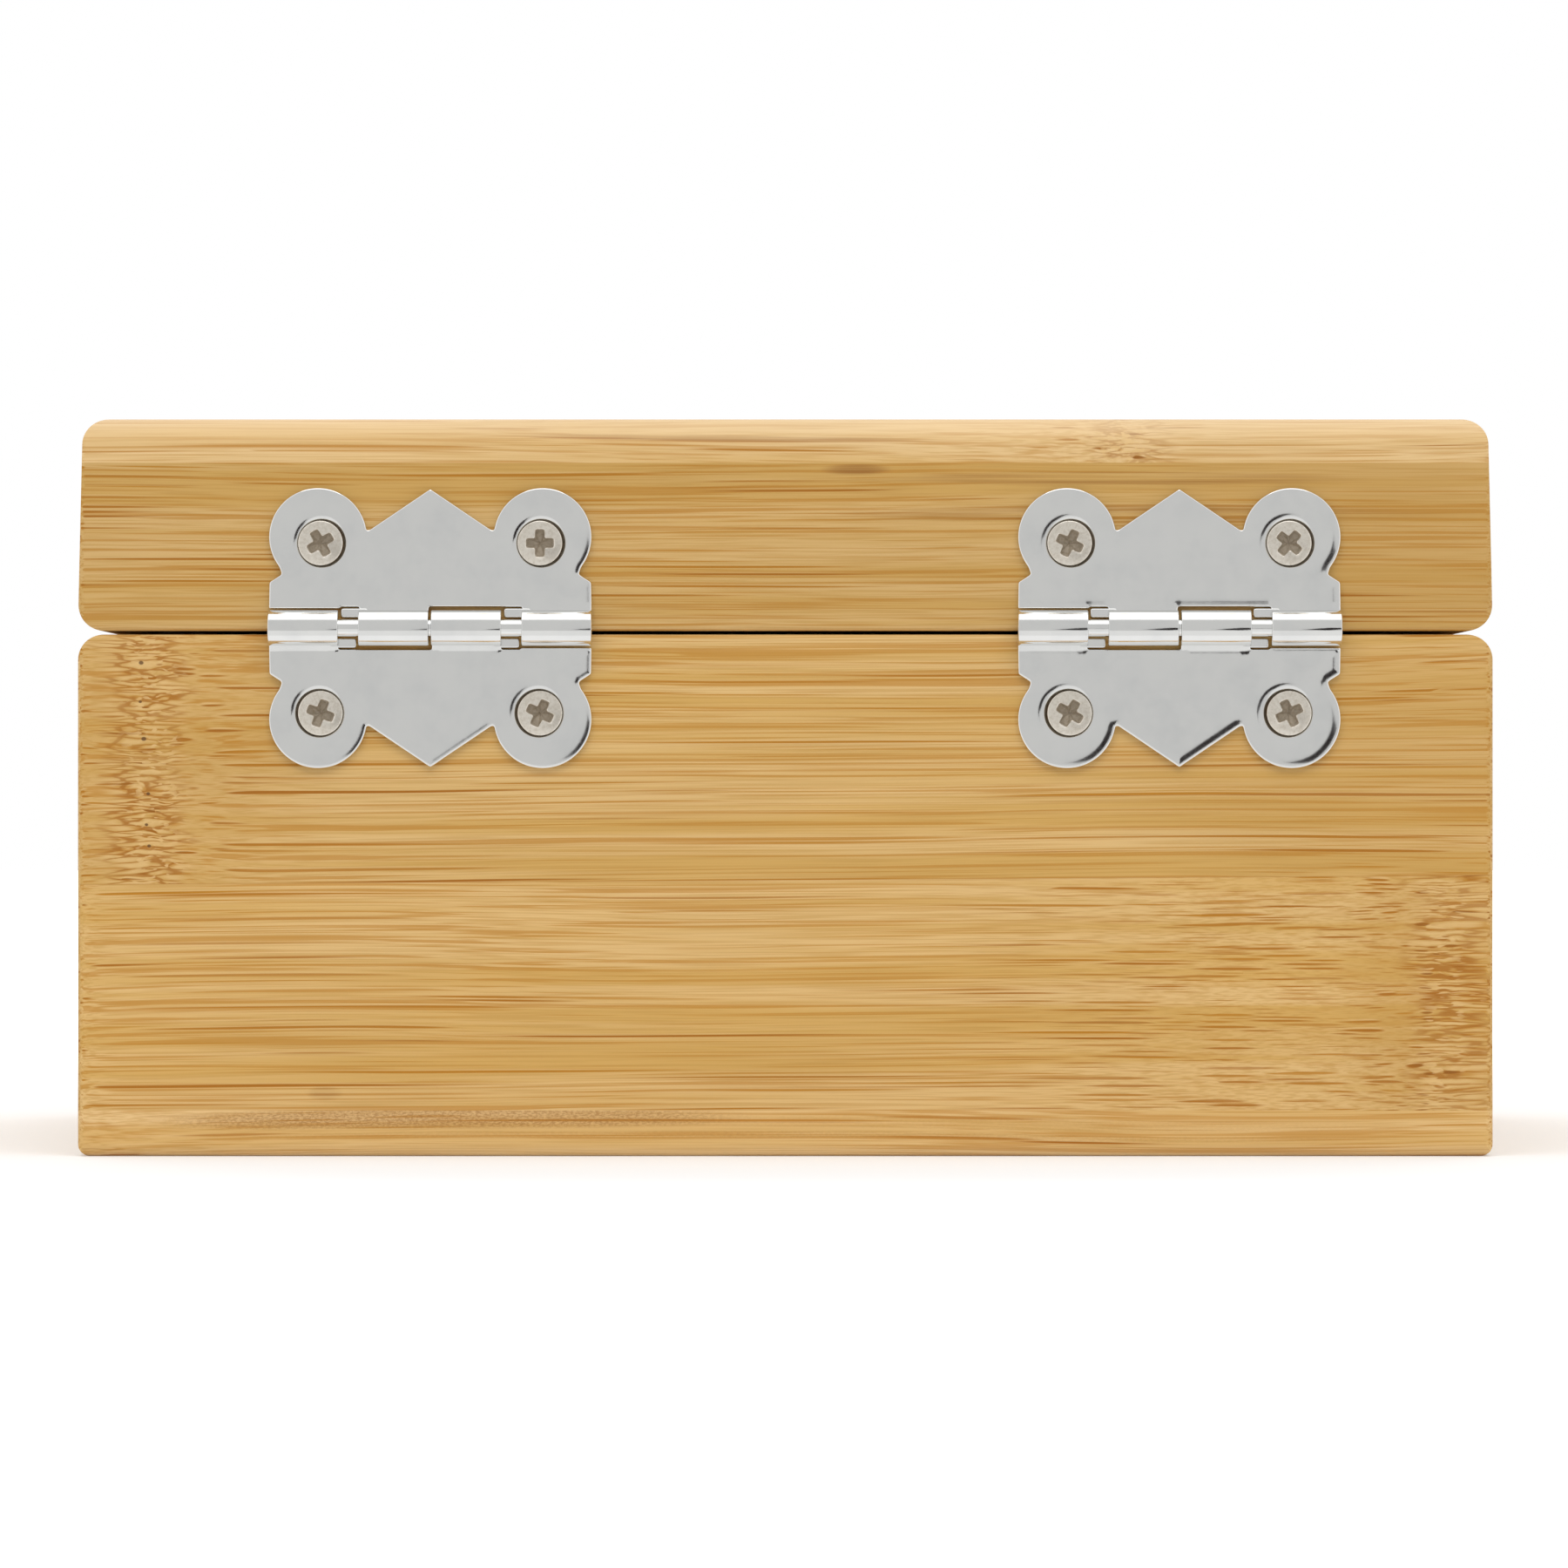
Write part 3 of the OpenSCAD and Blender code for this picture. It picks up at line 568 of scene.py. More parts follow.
    # Pale flecks where the fibres turn at the node
    fleck = waves((r.math("DIVIDE", r.times(a, 3.5), tuft_l), row, c), (1, 0.42, 0.5), 1.0)
    layers = [
        (r.times(r.ramp(lines, 0.53, 0.61), r.line(short_zone, -0.4, 0.6), 1 - 0.7 * cream), look.bundle),
        (r.times(middle, r.line(middle_randoms[2], 0.65 * faint, 0.25 * faint)), look.bundle),
        (r.times(middle, short_zone, middle_randoms[1], 0.75), look.dark_bundle),
        (r.times(dense, short_zone, r.line(dense_randoms[2], 0.45, 0.5)),
         r.blend(dense_randoms[1], look.bundle, look.dark_bundle)),
        # Pale fibre and painted highlight beside the strong dashes, stronger at the node
        (r.times(glint, r.line(zone, 0.4, 0.35)), pale),
        (r.times(strong, r.ramp(strong_randoms[2], 0.9 * cream - 0.5, 0.9 * cream + 0.5, 0.1, 1.0)),
         r.blend(strong_randoms[1], look.bundle, look.dark_bundle)),
        # Pale tufts at the node, with painted shade along their rims for a raised look
        (r.times(r.ramp(tuft, 0.12, 0.35), near_core, 0.75), pale),
        (r.times(tuft_rim_shade, near_core, r.ramp(cloud, 0.3, 0.6, 0.4 * faint, 0.8 * faint)), look.dark_bundle),
        (r.times(strong, zone, 0.6), look.dark_bundle),
        (r.times(strong, near_core, strong_randoms[1], 0.7), look.node_dark),
        (r.times(r.ramp(fleck, 0.58, 0.63), core, 0.8), look.pale)]
    for depth, places, spans in stains:
        layers.append((r.times(r.ramp(reach((a, row, deep), places, spans, 2.0), 1.0, 0.0),
                               r.ramp(r.add(lines, r.times(cloud, 0.5)), 0.55, 0.90), depth), look.stain))
    grit = waves((a, b, c), (0.5, 0.2, 0.2), 3.0, 0.7, own=False) if specks else 0
    for depth, places, spans in specks:
        layers.append((r.times(r.ramp(reach((a, row, deep), places, spans, 3.0), 1.0, 0.1),
                               r.ramp(grit, 0.38, 0.62, 0.3, 1.0), depth), look.stain))
    for along_mm, across_mm, size in pits:
        spread = reach((a, b), (along_mm, across_mm), (size, 0.8 * size), 2.0)
        layers.append((r.times(r.ramp(spread, 1.1, 0.3), 0.85), look.pit))
    # Painted highlight: over the rounded top edge, from low to high in mm up the third axis, the colour turns
    # creamy by depth, as the top light would make it
    if painted_top_highlight:
        low, high, depth = painted_top_highlight
        layers.append((r.times(r.ramp(c, low, high), depth), look.cream))
    for strip in strips[1:]:
        joint = r.ramp(r.size(r.add(level, -strip.joint)), 0.12, 0.02)
        layers.append((r.times(joint, 0.30), look.dark_bundle))
    colour = ground
    for share_shown, over in layers:
        colour = r.blend(share_shown, colour, over)

    colour = r.scaled(colour, r.add(1.0, tone, r.line(cloud, 0.12, -0.06)))
    gloss = r.line(r.add(strong, fibre), 0.08, look.roughness)
    relief = r.add(r.times(strong, -0.6), r.times(middle, -0.25), r.times(fibre, 0.5))
    r.coat(colour, gloss, relief, 0.25, 0.03, **{"Specular IOR Level": 0.35 + 0.25 * cream})
    dress([node], material)


# ---- Metal ----

def plating(name, look):
    """Bright plating: a mirror with a soft wave and faint dull clouds, over steel."""
    material, r = new_recipe(name)
    place = r.object_place()
    cloud = r.noise(r.scaled(place, 1 / 4.5), 3.0, 0.6)
    grain = r.noise(r.scaled(place, 1 / 0.5), 2.0)
    colour = r.blend(r.ramp(cloud, 0.35, 0.85), look.colour, look.dull)
    gloss = r.line(cloud, 0.10, look.roughness)
    r.coat(colour, gloss, r.add(cloud, r.times(grain, 0.06)), 0.07, 0.15, Metallic=1.0)
    return material


def nickel(name, look):
    """Warm satin nickel of the screws, with fine grit, and dirt with painted shade in the recess and under
    the head, where it is darker, duller and less metallic.
    """
    material, r = new_recipe(name)
    grit = r.noise(r.scaled(r.object_place(), 1 / 0.35), 3.0, 0.7)
    colour = r.blend(r.ramp(grit, 0.35, 0.75), look.screw, look.screw_dull)
    # Dirt and painted shade darken the recess and the underside of the head towards the recess colour
    dirt = r.node("ShaderNodeAttribute", attribute_name="dirt").outputs["Fac"]
    colour = r.blend(r.times(dirt, r.ramp(grit, 0.75, 0.25, 0.55, 0.9)), colour, look.screw_dirt)
    gloss = r.add(r.line(grit, 0.2, look.screw_roughness), r.times(dirt, 0.3))
    r.coat(colour, gloss, grit, 0.15, 0.02, Metallic=r.line(dirt, -0.7, 1.0))
    return material


def dress(names, material):
    """Gives the CAD nodes their material."""
    for name in names:
        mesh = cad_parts[name].data
        mesh.materials.clear()
        mesh.materials.append(material)


def soften(names, width):
    """Rounds the sharp edges of stamped sheet by a width in mm. The loose triangles are welded first."""
    for name in names:
        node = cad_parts[name]
        weld = node.modifiers.new("Weld", "WELD")
        weld.merge_threshold = 0.001 * MM
        bevel = node.modifiers.new("Bevel", "BEVEL")
        bevel.width = width * MM
        bevel.segments = 2
        bevel.limit_method = "ANGLE"
        bevel.angle_limit = math.radians(35)
        bevel.harden_normals = False


# ---- Values that a user would change ----

def colour_of(name, description, colour):
    return FloatVectorProperty(name=name, description=description, subtype="COLOR", min=0, max=1,
                               default=colour)


def share_of(name, description, value):
    return FloatProperty(name=name, description=description, subtype="FACTOR", min=0, max=1, default=value)


def length_of(name, description, millimetres):
    return FloatProperty(name=name, description=description, unit="LENGTH", min=0, default=millimetres * MM)


def in_millimetres(group):
    """The group's values, with its lengths in millimetres."""
    values = {name: getattr(group, name) for name in group.__annotations__}
    for name, value in values.items():
        if group.bl_rna.properties[name].unit == "LENGTH":
            values[name] = round(value / MM, 4)
    return SimpleNamespace(**values)


class BambooLook(PropertyGroup):
    ground: colour_of("Ground", "Middle colour of the bamboo between its fibres", linear(212, 169, 93))
    pale: colour_of("Pale", "Palest colour of the bamboo", linear(225, 187, 124))
    fibre: colour_of("Fibre", "Colour of the fine fibres", linear(196, 150, 74))
    bundle: colour_of("Bundle", "Colour of the light vascular bundles", linear(188, 128, 32))
    dark_bundle: colour_of("Dark bundle", "Colour of the dark vascular bundles", linear(166, 102, 16))
    node_dark: colour_of("Node", "Colour of the bundles at a culm node", linear(138, 86, 22))
    cream: colour_of("Cream", "Creamy bamboo of the lid's panel", linear(238, 209, 165))
    stain: colour_of("Stain", "Colour of stains in the bamboo", linear(156, 104, 42))
    pit: colour_of("Pit", "Colour of the pits at a culm node", linear(92, 58, 28))
    roughness: share_of("Roughness", "Roughness of the satin lacquer", 0.42)


class MetalLook(PropertyGroup):
    colour: colour_of("Plating", "Colour of the bright plating", (0.82, 0.82, 0.805))
    dull: colour_of("Dull plating", "Colour of the duller clouds in the plating", (0.76, 0.765, 0.76))
    roughness: share_of("Plating roughness", "Roughness of the bright plating", 0.06)
    rim: length_of("Rim", "Width of the rounded edge of the stamped sheet", 0.25)
    screw: colour_of("Screw", "Colour of the nickel screws", linear(240, 233, 221))
    screw_dull: colour_of("Dull screw", "Darker colour in the nickel of the screws", linear(220, 211, 196))
    # Colour of the dirt and painted shade in a screw's recess and under its head
    screw_dirt: colour_of("Recess", "Colour of the dull recess of a screw", linear(150, 134, 110))
    screw_roughness: share_of("Screw roughness", "Roughness of the nickel screws", 0.22)


class HingeSizes(PropertyGroup):
    barrel_l: length_of("Barrel length", "Length of the barrel", 36.5)
    knuckle_l: length_of("Knuckle", "Length of a knuckle", 7.9)
    knuckle_gap: length_of("Knuckle gap", "Gap between two knuckles", 0.3)
    bore: length_of("Bore", "Inner radius of a knuckle", 1.0)
    sheet: length_of("Sheet", "Thickness of the sheet", 1.0)
    barrel_lift: length_of("Barrel lift", "Rise of the barrel off the wood", 0.3)
    seam: length_of("Seam", "Gap where a knuckle closes", 0.12)
    edge: length_of("Leaf edge", "From the axis to the leaf's straight edge", 2.4)
    tab_end: length_of("Tab end", "From the axis to the end of the leaf's tabs", 1.3)
    shoulder_w: length_of("Shoulder", "Width of the shoulder beside a knuckle", 2.0)
    lobe_r: length_of("Lobe", "Radius of a lobe", 5.56)
    lobe_rise: length_of("Lobe height", "From the axis to a lobe's centre", 10.3)
    peak_rise: length_of("Peak", "From the axis to the peak's tip", 15.75)
    cusp_rise: length_of("Cusp height", "From the axis to a cusp", 11.1)
    cusp_x: length_of("Cusp place", "From the middle of the leaf to a cusp", 7.0)
    ear_rise: length_of("Ear", "From the axis to the tip of an ear", 5.2)
    ear_notch: length_of("Notch", "Depth of the notch over an ear", 1.45)
    flank: FloatProperty(name="Flank", description="Angle at which a lobe's arc starts below its centre",
                         subtype="ANGLE", min=0, max=math.pi / 2, default=math.radians(38))
    screw_shift: length_of("Screw shift", "From a lobe's centre in to its screw", 0.3)
    screw_drop: length_of("Screw drop", "From a lobe's centre down to its screw", 0.7)
    screw_d: length_of("Head", "Diameter of a screw's head", 5.05)
    screw_shank_d: length_of("Shank", "Diameter of a screw's shank", 2.7)
    screw_l: length_of("Screw length", "How deep a screw reaches into the wood", 6.5)
    screw_proud: length_of("Screw rise", "How far the head stands over its cone", 0.12)
    small_shank_d: length_of("Small shank", "Diameter of a hasp screw's shank", 2.0)
    small_l: length_of("Small screw", "How deep a hasp screw reaches into the wood", 5.5)
    hole_r: length_of("Hole", "Radius of a screw hole at the leaf's face", 2.72)
    hole_shift: length_of("Hole shift", "How far a hole lies beside its screw", 0.15)
    hole_dip: length_of("Hole dip", "How far the lip of a hole falls", 0.14)
    hole_lip: length_of("Hole lip", "Width of the lip round a hole", 0.9)
    crown: length_of("Crown", "How far the leaf's face falls towards its edge", 0.13)
    crown_run: length_of("Crown run", "Over what width the leaf's face falls", 1.3)


class StudioLook(PropertyGroup):
    camera_gap: length_of("Camera distance", "From the back face of the box to the camera", 1230.6)
    camera_side: length_of("Camera side", "Place of the camera along the box", 0.15)
    camera_height: length_of("Camera height", "Height of the camera above the floor", 42.1)
    lens: FloatProperty(name="Lens", description="Focal length of the camera",
                        unit="CAMERA", min=20, max=600, default=250)
    floor: colour_of("Floor", "Colour of the floor", (0.86, 0.86, 0.86))
    sky: FloatProperty(name="Room light", description="Strength of the even light of the room",
                       min=0, max=2, default=0.55)
    key: FloatProperty(name="Softbox", description="Radiance of the softboxes before and behind the box",
                       min=0, max=20, default=2.2)
    top: FloatProperty(name="Top light", description="Radiance of the softbox above the box",
                       min=0, max=20, default=0.92)


# ---- Stage ----

def grid_sheet(name, corner, side_u, side_v, material):
    """A flat stage sheet: corner + u*side_u + v*side_v for u and v from 0 to 1."""
    u, v = np.meshgrid([0.0, 1.0], [0.0, 1.0])
    sides = u[..., None] * np.array(side_u) + v[..., None] * np.array(side_v)
    points = (np.array(corner) + sides).reshape(-1, 3)
    mesh = bpy.data.meshes.new(name)
    mesh.from_pydata(points.tolist(), [], [(0, 1, 3, 2)])
    mesh.materials.append(material)
    sheet = bpy.data.objects.new(name, mesh)
    bpy.context.scene.collection.objects.link(sheet)
    return sheet


def reflected_card(name, colour, corner, side_u, side_v):
    """A card of an even glow that shows in the metal alone, as a studio's grey and black cards do."""
    material, r = new_recipe(name)
    light = r.node("ShaderNodeEmission", (colour, 1.0))
    r.node("ShaderNodeOutputMaterial", {"Surface": light.outputs[0]})
    card = grid_sheet(name, corner, side_u, side_v, material)
    card.visible_camera = card.visible_diffuse = card.visible_shadow = False
    card.visible_transmission = card.visible_volume_scatter = False


def softbox(name, place, target, width, height, radiance, mirrored):
    """A rectangular lamp, of power radiance*area*pi. mirrored says whether it shows in the metal."""
    lamp = bpy.data.lights.new(name, "AREA")
    lamp.shape, lamp.size, lamp.size_y = "RECTANGLE", width, height
    lamp.energy = radiance * width * height * math.pi
    box = bpy.data.objects.new(name, lamp)
    gaze = Vector(target) - Vector(place)
    box.rotation_euler = gaze.to_track_quat("-Z", "Y").to_euler()
    box.location = place
    box.visible_glossy = mirrored
    bpy.context.scene.collection.objects.link(box)


class TEABOX_OT_stage(Operator):
    """Lay the floor, hang the lights and set up the camera behind the box"""
    bl_idname = "teabox.stage"
    bl_label = "Studio"

    def execute(self, context):
        scene, look = context.scene, context.scene.teabox_studio
        scene.view_settings.view_transform = "Standard"

        floor_material, r = new_recipe("pale_floor")
        diffuse = r.node("ShaderNodeBsdfDiffuse", (look.floor,))
        place = r.node("ShaderNodeTexCoord").outputs["Object"]
        away = r.node("ShaderNodeVectorMath", (place,), operation="LENGTH").outputs["Value"]
        glow = r.times(r.seen_directly(), r.ramp(away, 0.16, 0.60, 0.18, 1.0))  # whiter away from the box
        white = r.node("ShaderNodeEmission", ((1, 1, 1), glow))
        both = r.node("ShaderNodeAddShader", (diffuse.outputs[0], white.outputs[0]))
        r.node("ShaderNodeOutputMaterial", {"Surface": both.outputs[0]})
        reach = 4
        floor = grid_sheet("floor", (-reach, -reach, 0), (2 * reach, 0, 0), (0, 2 * reach, 0), floor_material)
        floor.visible_glossy = False

        scene.world = bpy.data.worlds.new("white_room")
        scene.world.use_nodes = True
        r = Recipe(scene.world.node_tree)
        strength = r.line(r.seen_directly(), 1 - look.sky, look.sky)
        room = r.node("ShaderNodeBackground", ((1, 1, 1), strength))
        r.node("ShaderNodeOutputWorld", {"Surface": room.outputs[0]})

        middle = (0, 0, 0.04)
        across, meet, low = 1.6, -0.45, -1.9  # half a card's width, where grey meets pale, and the foot
        for side, away, height in (("behind", 1.0, 2.5), ("before", -1.0, 1.3)):
            softbox(f"softbox_{side}", (0, 1.1 * away, 1.05), middle, 1.6, 0.7, look.key, False)
            for shade, colour, foot, rise in (("grey", (0.66, 0.66, 0.655), meet, height),
                                              ("pale", (0.88, 0.88, 0.875), low, meet - low)):
                reflected_card(f"{shade}_card_{side}", colour, (-across, across * away, foot),
                               (2 * across, 0, 0), (0, 0, rise))
            reflected_card(f"black_card_{side}", (0.02, 0.015, 0.015), (-0.09 * away, 1.45 * away, -0.23),
                           (-0.22 * away, 0, -0.12), (-0.22 * away, 0, 0.32))
        softbox("softbox_above", (0, 0.25, 1.5), middle, 1.2, 1.3, look.top, True)

        camera = bpy.data.cameras.new("camera")
        camera.lens, camera.sensor_width = look.lens, 36  # millimetres
        camera.clip_start, camera.clip_end = 0.05, 50
        seat = bpy.data.objects.new("camera", camera)
        _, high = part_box("back_board")
        seat.location = (look.camera_side, high.y + look.camera_gap, look.camera_height)
        seat.rotation_euler = (math.radians(90), 0, math.radians(180))
        scene.collection.objects.link(seat)
        scene.camera = seat
        return {"FINISHED"}


# ---- The pieces ----

class TEABOX_OT_boards(Operator):
    """Give the four boards and the bottom panel their bamboo"""
    bl_idname = "teabox.boards"
    bl_label = "Boards and bottom"

    def execute(self, context):
        look = context.scene.teabox_bamboo
        bamboo("back_board", look, (X, Z, Y),
               [Strip(LOWEST, -74.5, 1, 46, 0.03, 11.3, 9.0), Strip(31.25, 71.6, -1, 0, -0.005, 4.7)],
               slope=-0.0065, ends=[(80, 2.2)], stains=[(0.55, (52, 7.5, 0), (2.4, 0.9, 0))],
               pits=[(72.8, 55.8, 0.32), (72.9, 51.4, 0.22), (72.5, 47.2, 0.34), (72.0, 41.0, 0.26),
                     (72.2, 37.5, 0.24), (71.9, 35.1, 0.26)],
               warm=[(0.45, (-70, 46), (40, 18)), (0.45, (70, 46), (22, 22)), (0.5, (-74, 18), (14, 20))])
        bamboo("front_board", look, (X, Z, Y),
               [Strip(LOWEST, 31.0, -1, 20, 0.0, 21.9), Strip(33.4, -52.0, 1, 12, 0.01, 2.2)])
        bamboo("left_board", look, (Y, Z, X),
               [Strip(LOWEST, -38.0, 1, 25, 0.01, 31.4), Strip(29.6, 60.0, -1, 0, -0.01, 8.1)])
        bamboo("right_board", look, (Y, Z, X),
               [Strip(LOWEST, 22.0, 1, 0, -0.01, 14.6), Strip(34.8, -66.0, 1, 18, 0.01, 5.9)])
        rows = glued_rows(Strip(LOWEST, 40, 1, 10, 0.0, 3.1), -57, 23, 12, 6.3, 4.7,
                          [(-30, 1, 0.06), (66, -1, 0.01), (-71, 1, 0.04), (12, 1, 0.0), (50, -1, 0.05),
                           (85, -1, 0.09)])
        bamboo("bottom_panel", look, (X, Y, Z), rows, cream=0.2,
               specks=[(0.68, (38, 0, 4.1), (36, 0, 1.35)), (0.12, (-25, 0, 3.7), (50, 0, 0.9)),
                       (0.2, (0, 0, 2.2), (75, 0, 0.5))])
        return {"FINISHED"}


class TEABOX_OT_dividers(Operator):
    """Give the two crossed dividers their bamboo"""
    bl_idname = "teabox.dividers"
    bl_label = "Dividers"

    def execute(self, context):
        look = context.scene.teabox_bamboo
        bamboo("side_to_side_divider", look, (X, Z, Y),
               [Strip(LOWEST, 50.0, -1, 10, 0.0, 17.7), Strip(28.0, -20.0, 1, 0, 0.01, 9.2)])
        bamboo("front_to_back_divider", look, (Y, Z, X),
               [Strip(LOWEST, -57.0, 1, 10, 0.0, 27.1), Strip(30.0, 33.0, 1, 0, 0.01, 19.4)])
        return {"FINISHED"}


class TEABOX_OT_lid(Operator):
    """Give the lid's panel and rails their bamboo"""
    bl_idname = "teabox.lid"
    bl_label = "Lid"

    def execute(self, context):
        look = context.scene.teabox_bamboo
        rows = glued_rows(Strip(LOWEST, -12, 1, 0, 0.0, 5.3), -58, 22.5, 10, 2.9, 3.7,
                          [(58, -1, 0.02), (-44, 1, -0.02), (20, 1, 0.02), (-70, 1, -0.01), (36, -1, 0.03),
                           (-38.5, 1, 0.02)])
        # A painted highlight pales the panel's rounded top edge
        bamboo("lid_panel", look, (X, Y, Z), rows, cream=0.3, painted_top_highlight=(79.6, 83.0, 0.5),
               stains=[(0.8, (8, 80, 81.2), (28, 3, 0.5))])
        bamboo("lid_back_rail", look, (X, Z, Y), [Strip(LOWEST, 140.0, 1, 0, -0.075, 13.5)], dash_l=65,
               stains=[(0.8, (-37, 76.2, 0), (32, 0.9, 0)), (0.9, (-8, 77.3, 0), (4.5, 0.8, 0)),
                       (0.5, (-40, 72.2, 0), (40, 1.3, 0))],
               warm=[(0.5, (-66, 68), (34, 20)), (0.22, (0, 68), (200, 60))])
        bamboo("lid_front_rail", look, (X, Z, Y), [Strip(LOWEST, -25.0, 1, 10, -0.03, 23.2)])
        bamboo("lid_left_rail", look, (Y, Z, X), [Strip(LOWEST, 44.0, -1, 8, -0.03, 33.8)])
        bamboo("lid_right_rail", look, (Y, Z, X), [Strip(LOWEST, -12.0, 1, 0, -0.03, 37.9)])
        return {"FINISHED"}


HINGES = ("left_hinge", "right_hinge")


def hinge_frame(hinge, turned):
    """Takes points from a leaf's own frame, x along the barrel, y up the leaf and z out of the wood, to the
    row frame. The lower leaf is the upper one turned over."""
    middle = sum(np.array(corner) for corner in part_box(f"{hinge}_pin")) / (2 * MM)
    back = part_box("back_board")[1].y / MM
    way = -1.0 if turned else 1.0

    def place(points):
        x, y, z = points.T
        return np.column_stack([middle[X] - way * x, back + z, middle[Z] + way * y])
    return place


def leaf_outline(look):
    """The leaf's closed outline: a peak between two round lobes, and an ear at each side of the barrel, with
    tabs that run under its own two knuckles."""
    half, radius = look.barrel_l / 2, look.lobe_r
    lobe_x = half - radius
    enter = math.atan2(look.cusp_rise - look.lobe_rise, look.cusp_x - lobe_x)
    arc = np.linspace(-look.flank, enter, 40)
    right = [[half, look.edge], [half - 0.05, look.ear_rise], [half - look.ear_notch, look.ear_rise + 0.9]]
    lobe = np.column_stack([lobe_x + radius * np.cos(arc), look.lobe_rise + radius * np.sin(arc)]).tolist()
    side = right + lobe + [[look.cusp_x - 0.1, look.cusp_rise]]
    mirrored = [[-x, y] for x, y in side[::-1]]
    tabs = []
    for start in knuckle_starts(look)[::-1]:
        end = start + look.knuckle_l
        tabs.append([[start, look.edge], [start, look.tab_end], [end, look.tab_end], [end, look.edge]])
    bottom = tabs[1] + tabs[0][:-1]
    bottom = [point for point in bottom if abs(point[0]) < half - 1e-6 or point[1] < look.edge]
    near = look.edge - 0.2  # the edge lies closer over the other leaf's outer knuckle
    step = knuckle_starts(look)[0] - look.shoulder_w - 0.15
    mirrored[-1] = [-half, near]
    bottom = [[step, near], [step, look.edge]] + bottom
    corners = side + [[0, look.peak_rise]] + mirrored + bottom
    return softened(resampled(np.array(corners), 0.1), 4)


def knuckle_starts(look):
    return [-look.knuckle_gap / 2 - look.knuckle_l, look.barrel_l / 2 - look.knuckle_l]


def screw_place(look):
    """Where a leaf's two screws lie: to each side of its middle, and up from the axis."""
    return look.barrel_l / 2 - look.lobe_r - look.screw_shift, look.lobe_rise - look.screw_drop


class TEABOX_OT_hinges(Operator):
    """Form the stamped leaves with their rolled knuckles, and plate them and the pins"""
    bl_idname = "teabox.hinges"
    bl_label = "Hinges"

    def execute(self, context):
        metal, look = in_millimetres(context.scene.teabox_metal), in_millimetres(context.scene.teabox_hinge)
        material = plating("hinge_plating", metal)
        outline = leaf_outline(look)

        def lift(flat):
            """Rise of the sheet towards the knuckles: lift*(3t^2 - 2t^3), t from 0 to 1 over the bend."""
            bend = 1.1
            t = np.clip((look.edge + 0.35 - flat[:, 1]) / bend, 0, 1)
            return look.barrel_lift * t * t * (3 - 2 * t)

        shell = Shell()
        across, up = screw_place(look)
        holes = [((way * across + look.hole_shift, up), look.hole_r, look.hole_dip, look.hole_lip)
                 for way in (-1, 1)]
        stamped_sheet(shell, outline, 0.0, look.sheet, metal.rim, look.crown, look.crown_run, holes, lift)
        small_rim = 0.12  # of a knuckle's ends and of the shoulder
        for start in knuckle_starts(look):
            rolled_knuckle(shell, start, look.knuckle_l, look.bore, look.sheet, look.barrel_lift,
                           look.edge - 0.5, look.seam, small_rim)
            near, far, low, high = start + 1, start - look.shoulder_w, look.bore + 0.2, look.edge - 0.2
            box = np.array([[far, low], [near, low], [near, high], [far, high]])
            stamped_sheet(shell, softened(resampled(box, 0.1), 6), look.barrel_lift, look.sheet, small_rim,
                          0.0, 0.3)
        for hinge in HINGES:
            for leaf, turned, body in (("upper_leaf", False, "lid"), ("lower_leaf", True, "box")):
                piece = shell.piece(f"{hinge}_{leaf}_sheet", hinge_frame(hinge, turned), material)
                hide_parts(f"{hinge}_{leaf}")
                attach(piece, body)
        dress([f"{hinge}_pin" for hinge in HINGES], material)
        return {"FINISHED"}


def hasp_frame(points):
    """Takes points from the hasp's frame, x along the front, y up and z out of the wood, to the row frame."""
    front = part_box("front_board")[0].y / MM
    return np.column_stack([points[:, 0], front - points[:, 2], points[:, 1]])


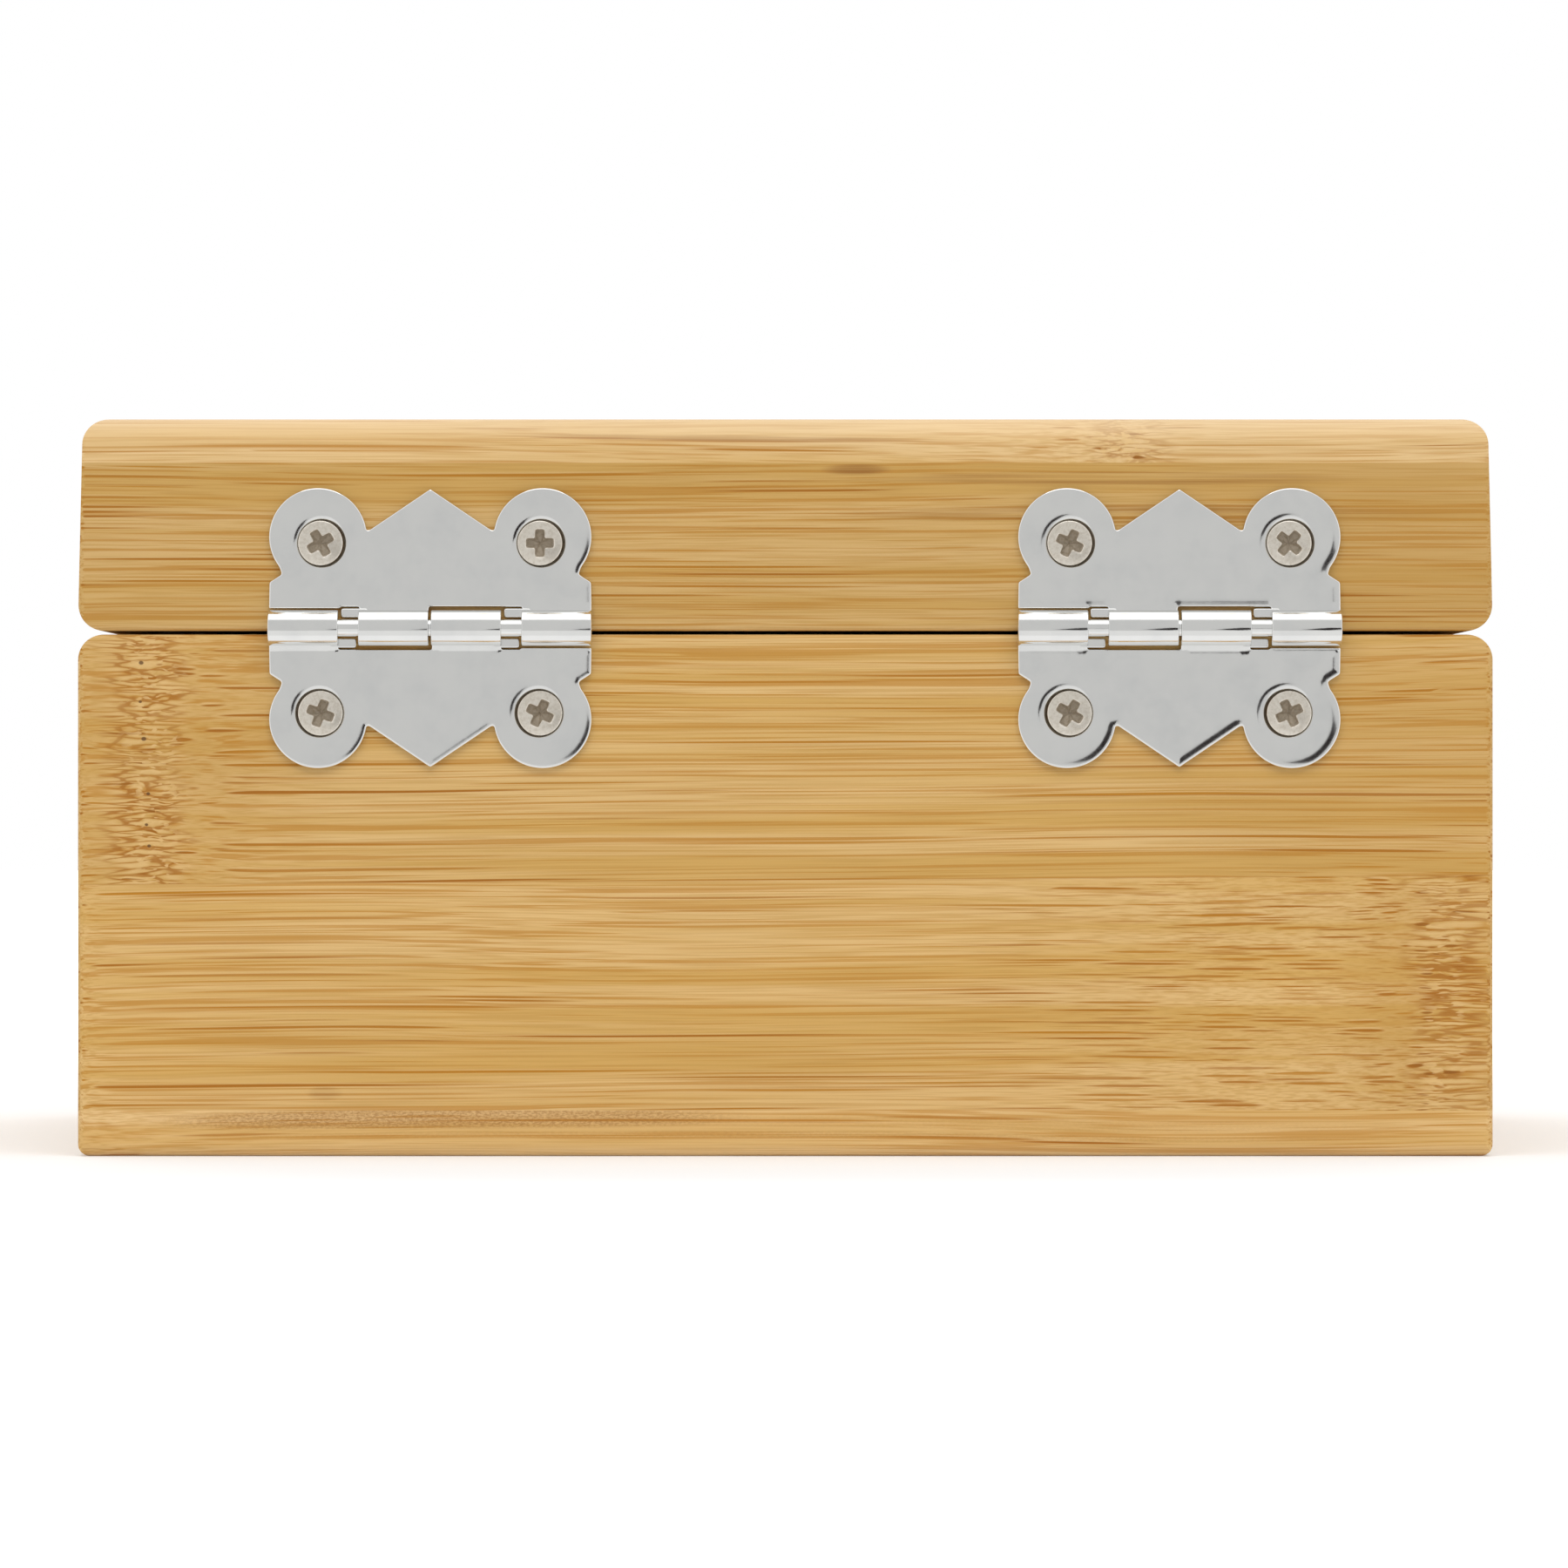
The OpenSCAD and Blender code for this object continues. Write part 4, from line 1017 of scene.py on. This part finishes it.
class TEABOX_OT_screws(Operator):
    """Make the countersunk screws of the hinges, the hasp and the keeper with their cross recesses"""
    bl_idname = "teabox.screws"
    bl_label = "Screws"

    def execute(self, context):
        look = in_millimetres(context.scene.teabox_hinge)
        material = nickel("screw_nickel", context.scene.teabox_metal)

        def screws(name, centres, angles, head_d, shank_d, length, place, body):
            shell = Shell()
            for centre, angle in zip(centres, angles):
                screw_surface(shell, centre, math.radians(angle), head_d, shank_d, length, look.screw_proud)
            piece = shell.piece(f"{name}_cross_screws", place, material)
            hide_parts(f"{name}_screws")
            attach(piece, body)

        across, up = screw_place(look)
        centres = ((-across, up), (across, up))
        turns = {"left_hinge": ((25, 60), (65, 50)), "right_hinge": ((65, 70), (30, 0))}
        for hinge, (lower, upper) in turns.items():
            for half, body, angles in (("lower", "box", lower), ("upper", "lid", upper)):
                screws(f"{hinge}_{half}", centres, angles, look.screw_d, look.screw_shank_d, look.screw_l,
                       hinge_frame(hinge, half == "lower"), body)
        for name, body, angles in (("hasp_plate", "lid", (20, 55)), ("keeper", "box", (70, 15))):
            low, high = (np.array(corner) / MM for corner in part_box(f"{name}_screws"))
            head, up = high[Z] - low[Z], (low[Z] + high[Z]) / 2
            centres = ((low[X] + head / 2, up), (high[X] - head / 2, up))
            screws(name, centres, angles, head, look.small_shank_d, look.small_l, hasp_frame, body)
        return {"FINISHED"}


class TEABOX_OT_hasp(Operator):
    """Plate the hasp's plate, pin and tongue and the keeper"""
    bl_idname = "teabox.hasp"
    bl_label = "Hasp and keeper"

    def execute(self, context):
        look = in_millimetres(context.scene.teabox_metal)
        plates = ["hasp_plate", "hasp_tongue", "keeper"]
        dress(plates + ["hasp_pin"], plating("hasp_plating", look))
        soften(plates, look.rim)
        return {"FINISHED"}


OPERATORS = (TEABOX_OT_boards, TEABOX_OT_dividers, TEABOX_OT_lid, TEABOX_OT_hinges, TEABOX_OT_screws,
             TEABOX_OT_hasp, TEABOX_OT_stage)
GROUPS = {"teabox_bamboo": BambooLook, "teabox_metal": MetalLook, "teabox_hinge": HingeSizes,
          "teabox_studio": StudioLook}


class TEABOX_PT_panel(Panel):
    """Steps and values of the tea bag box"""
    bl_idname = "TEABOX_PT_panel"
    bl_label = "Tea box"
    bl_space_type = "VIEW_3D"
    bl_region_type = "UI"
    bl_category = "Tea box"

    def draw(self, context):
        for operator in OPERATORS:
            self.layout.operator(operator.bl_idname)
        for group, kind in GROUPS.items():
            box = self.layout.box()
            for name in kind.__annotations__:
                box.prop(getattr(context.scene, group), name)


def register():
    for kind in (*GROUPS.values(), *OPERATORS, TEABOX_PT_panel):
        bpy.utils.register_class(kind)
    for name, kind in GROUPS.items():
        setattr(bpy.types.Scene, name, PointerProperty(type=kind))


def unregister():
    for name in GROUPS:
        delattr(bpy.types.Scene, name)
    for kind in (TEABOX_PT_panel, *reversed(OPERATORS), *reversed(GROUPS.values())):
        bpy.utils.unregister_class(kind)


def main():
    register()
    for operator in OPERATORS:
        category, step = operator.bl_idname.split(".")
        getattr(getattr(bpy.ops, category), step)()


if __name__ == "__main__":
    main()
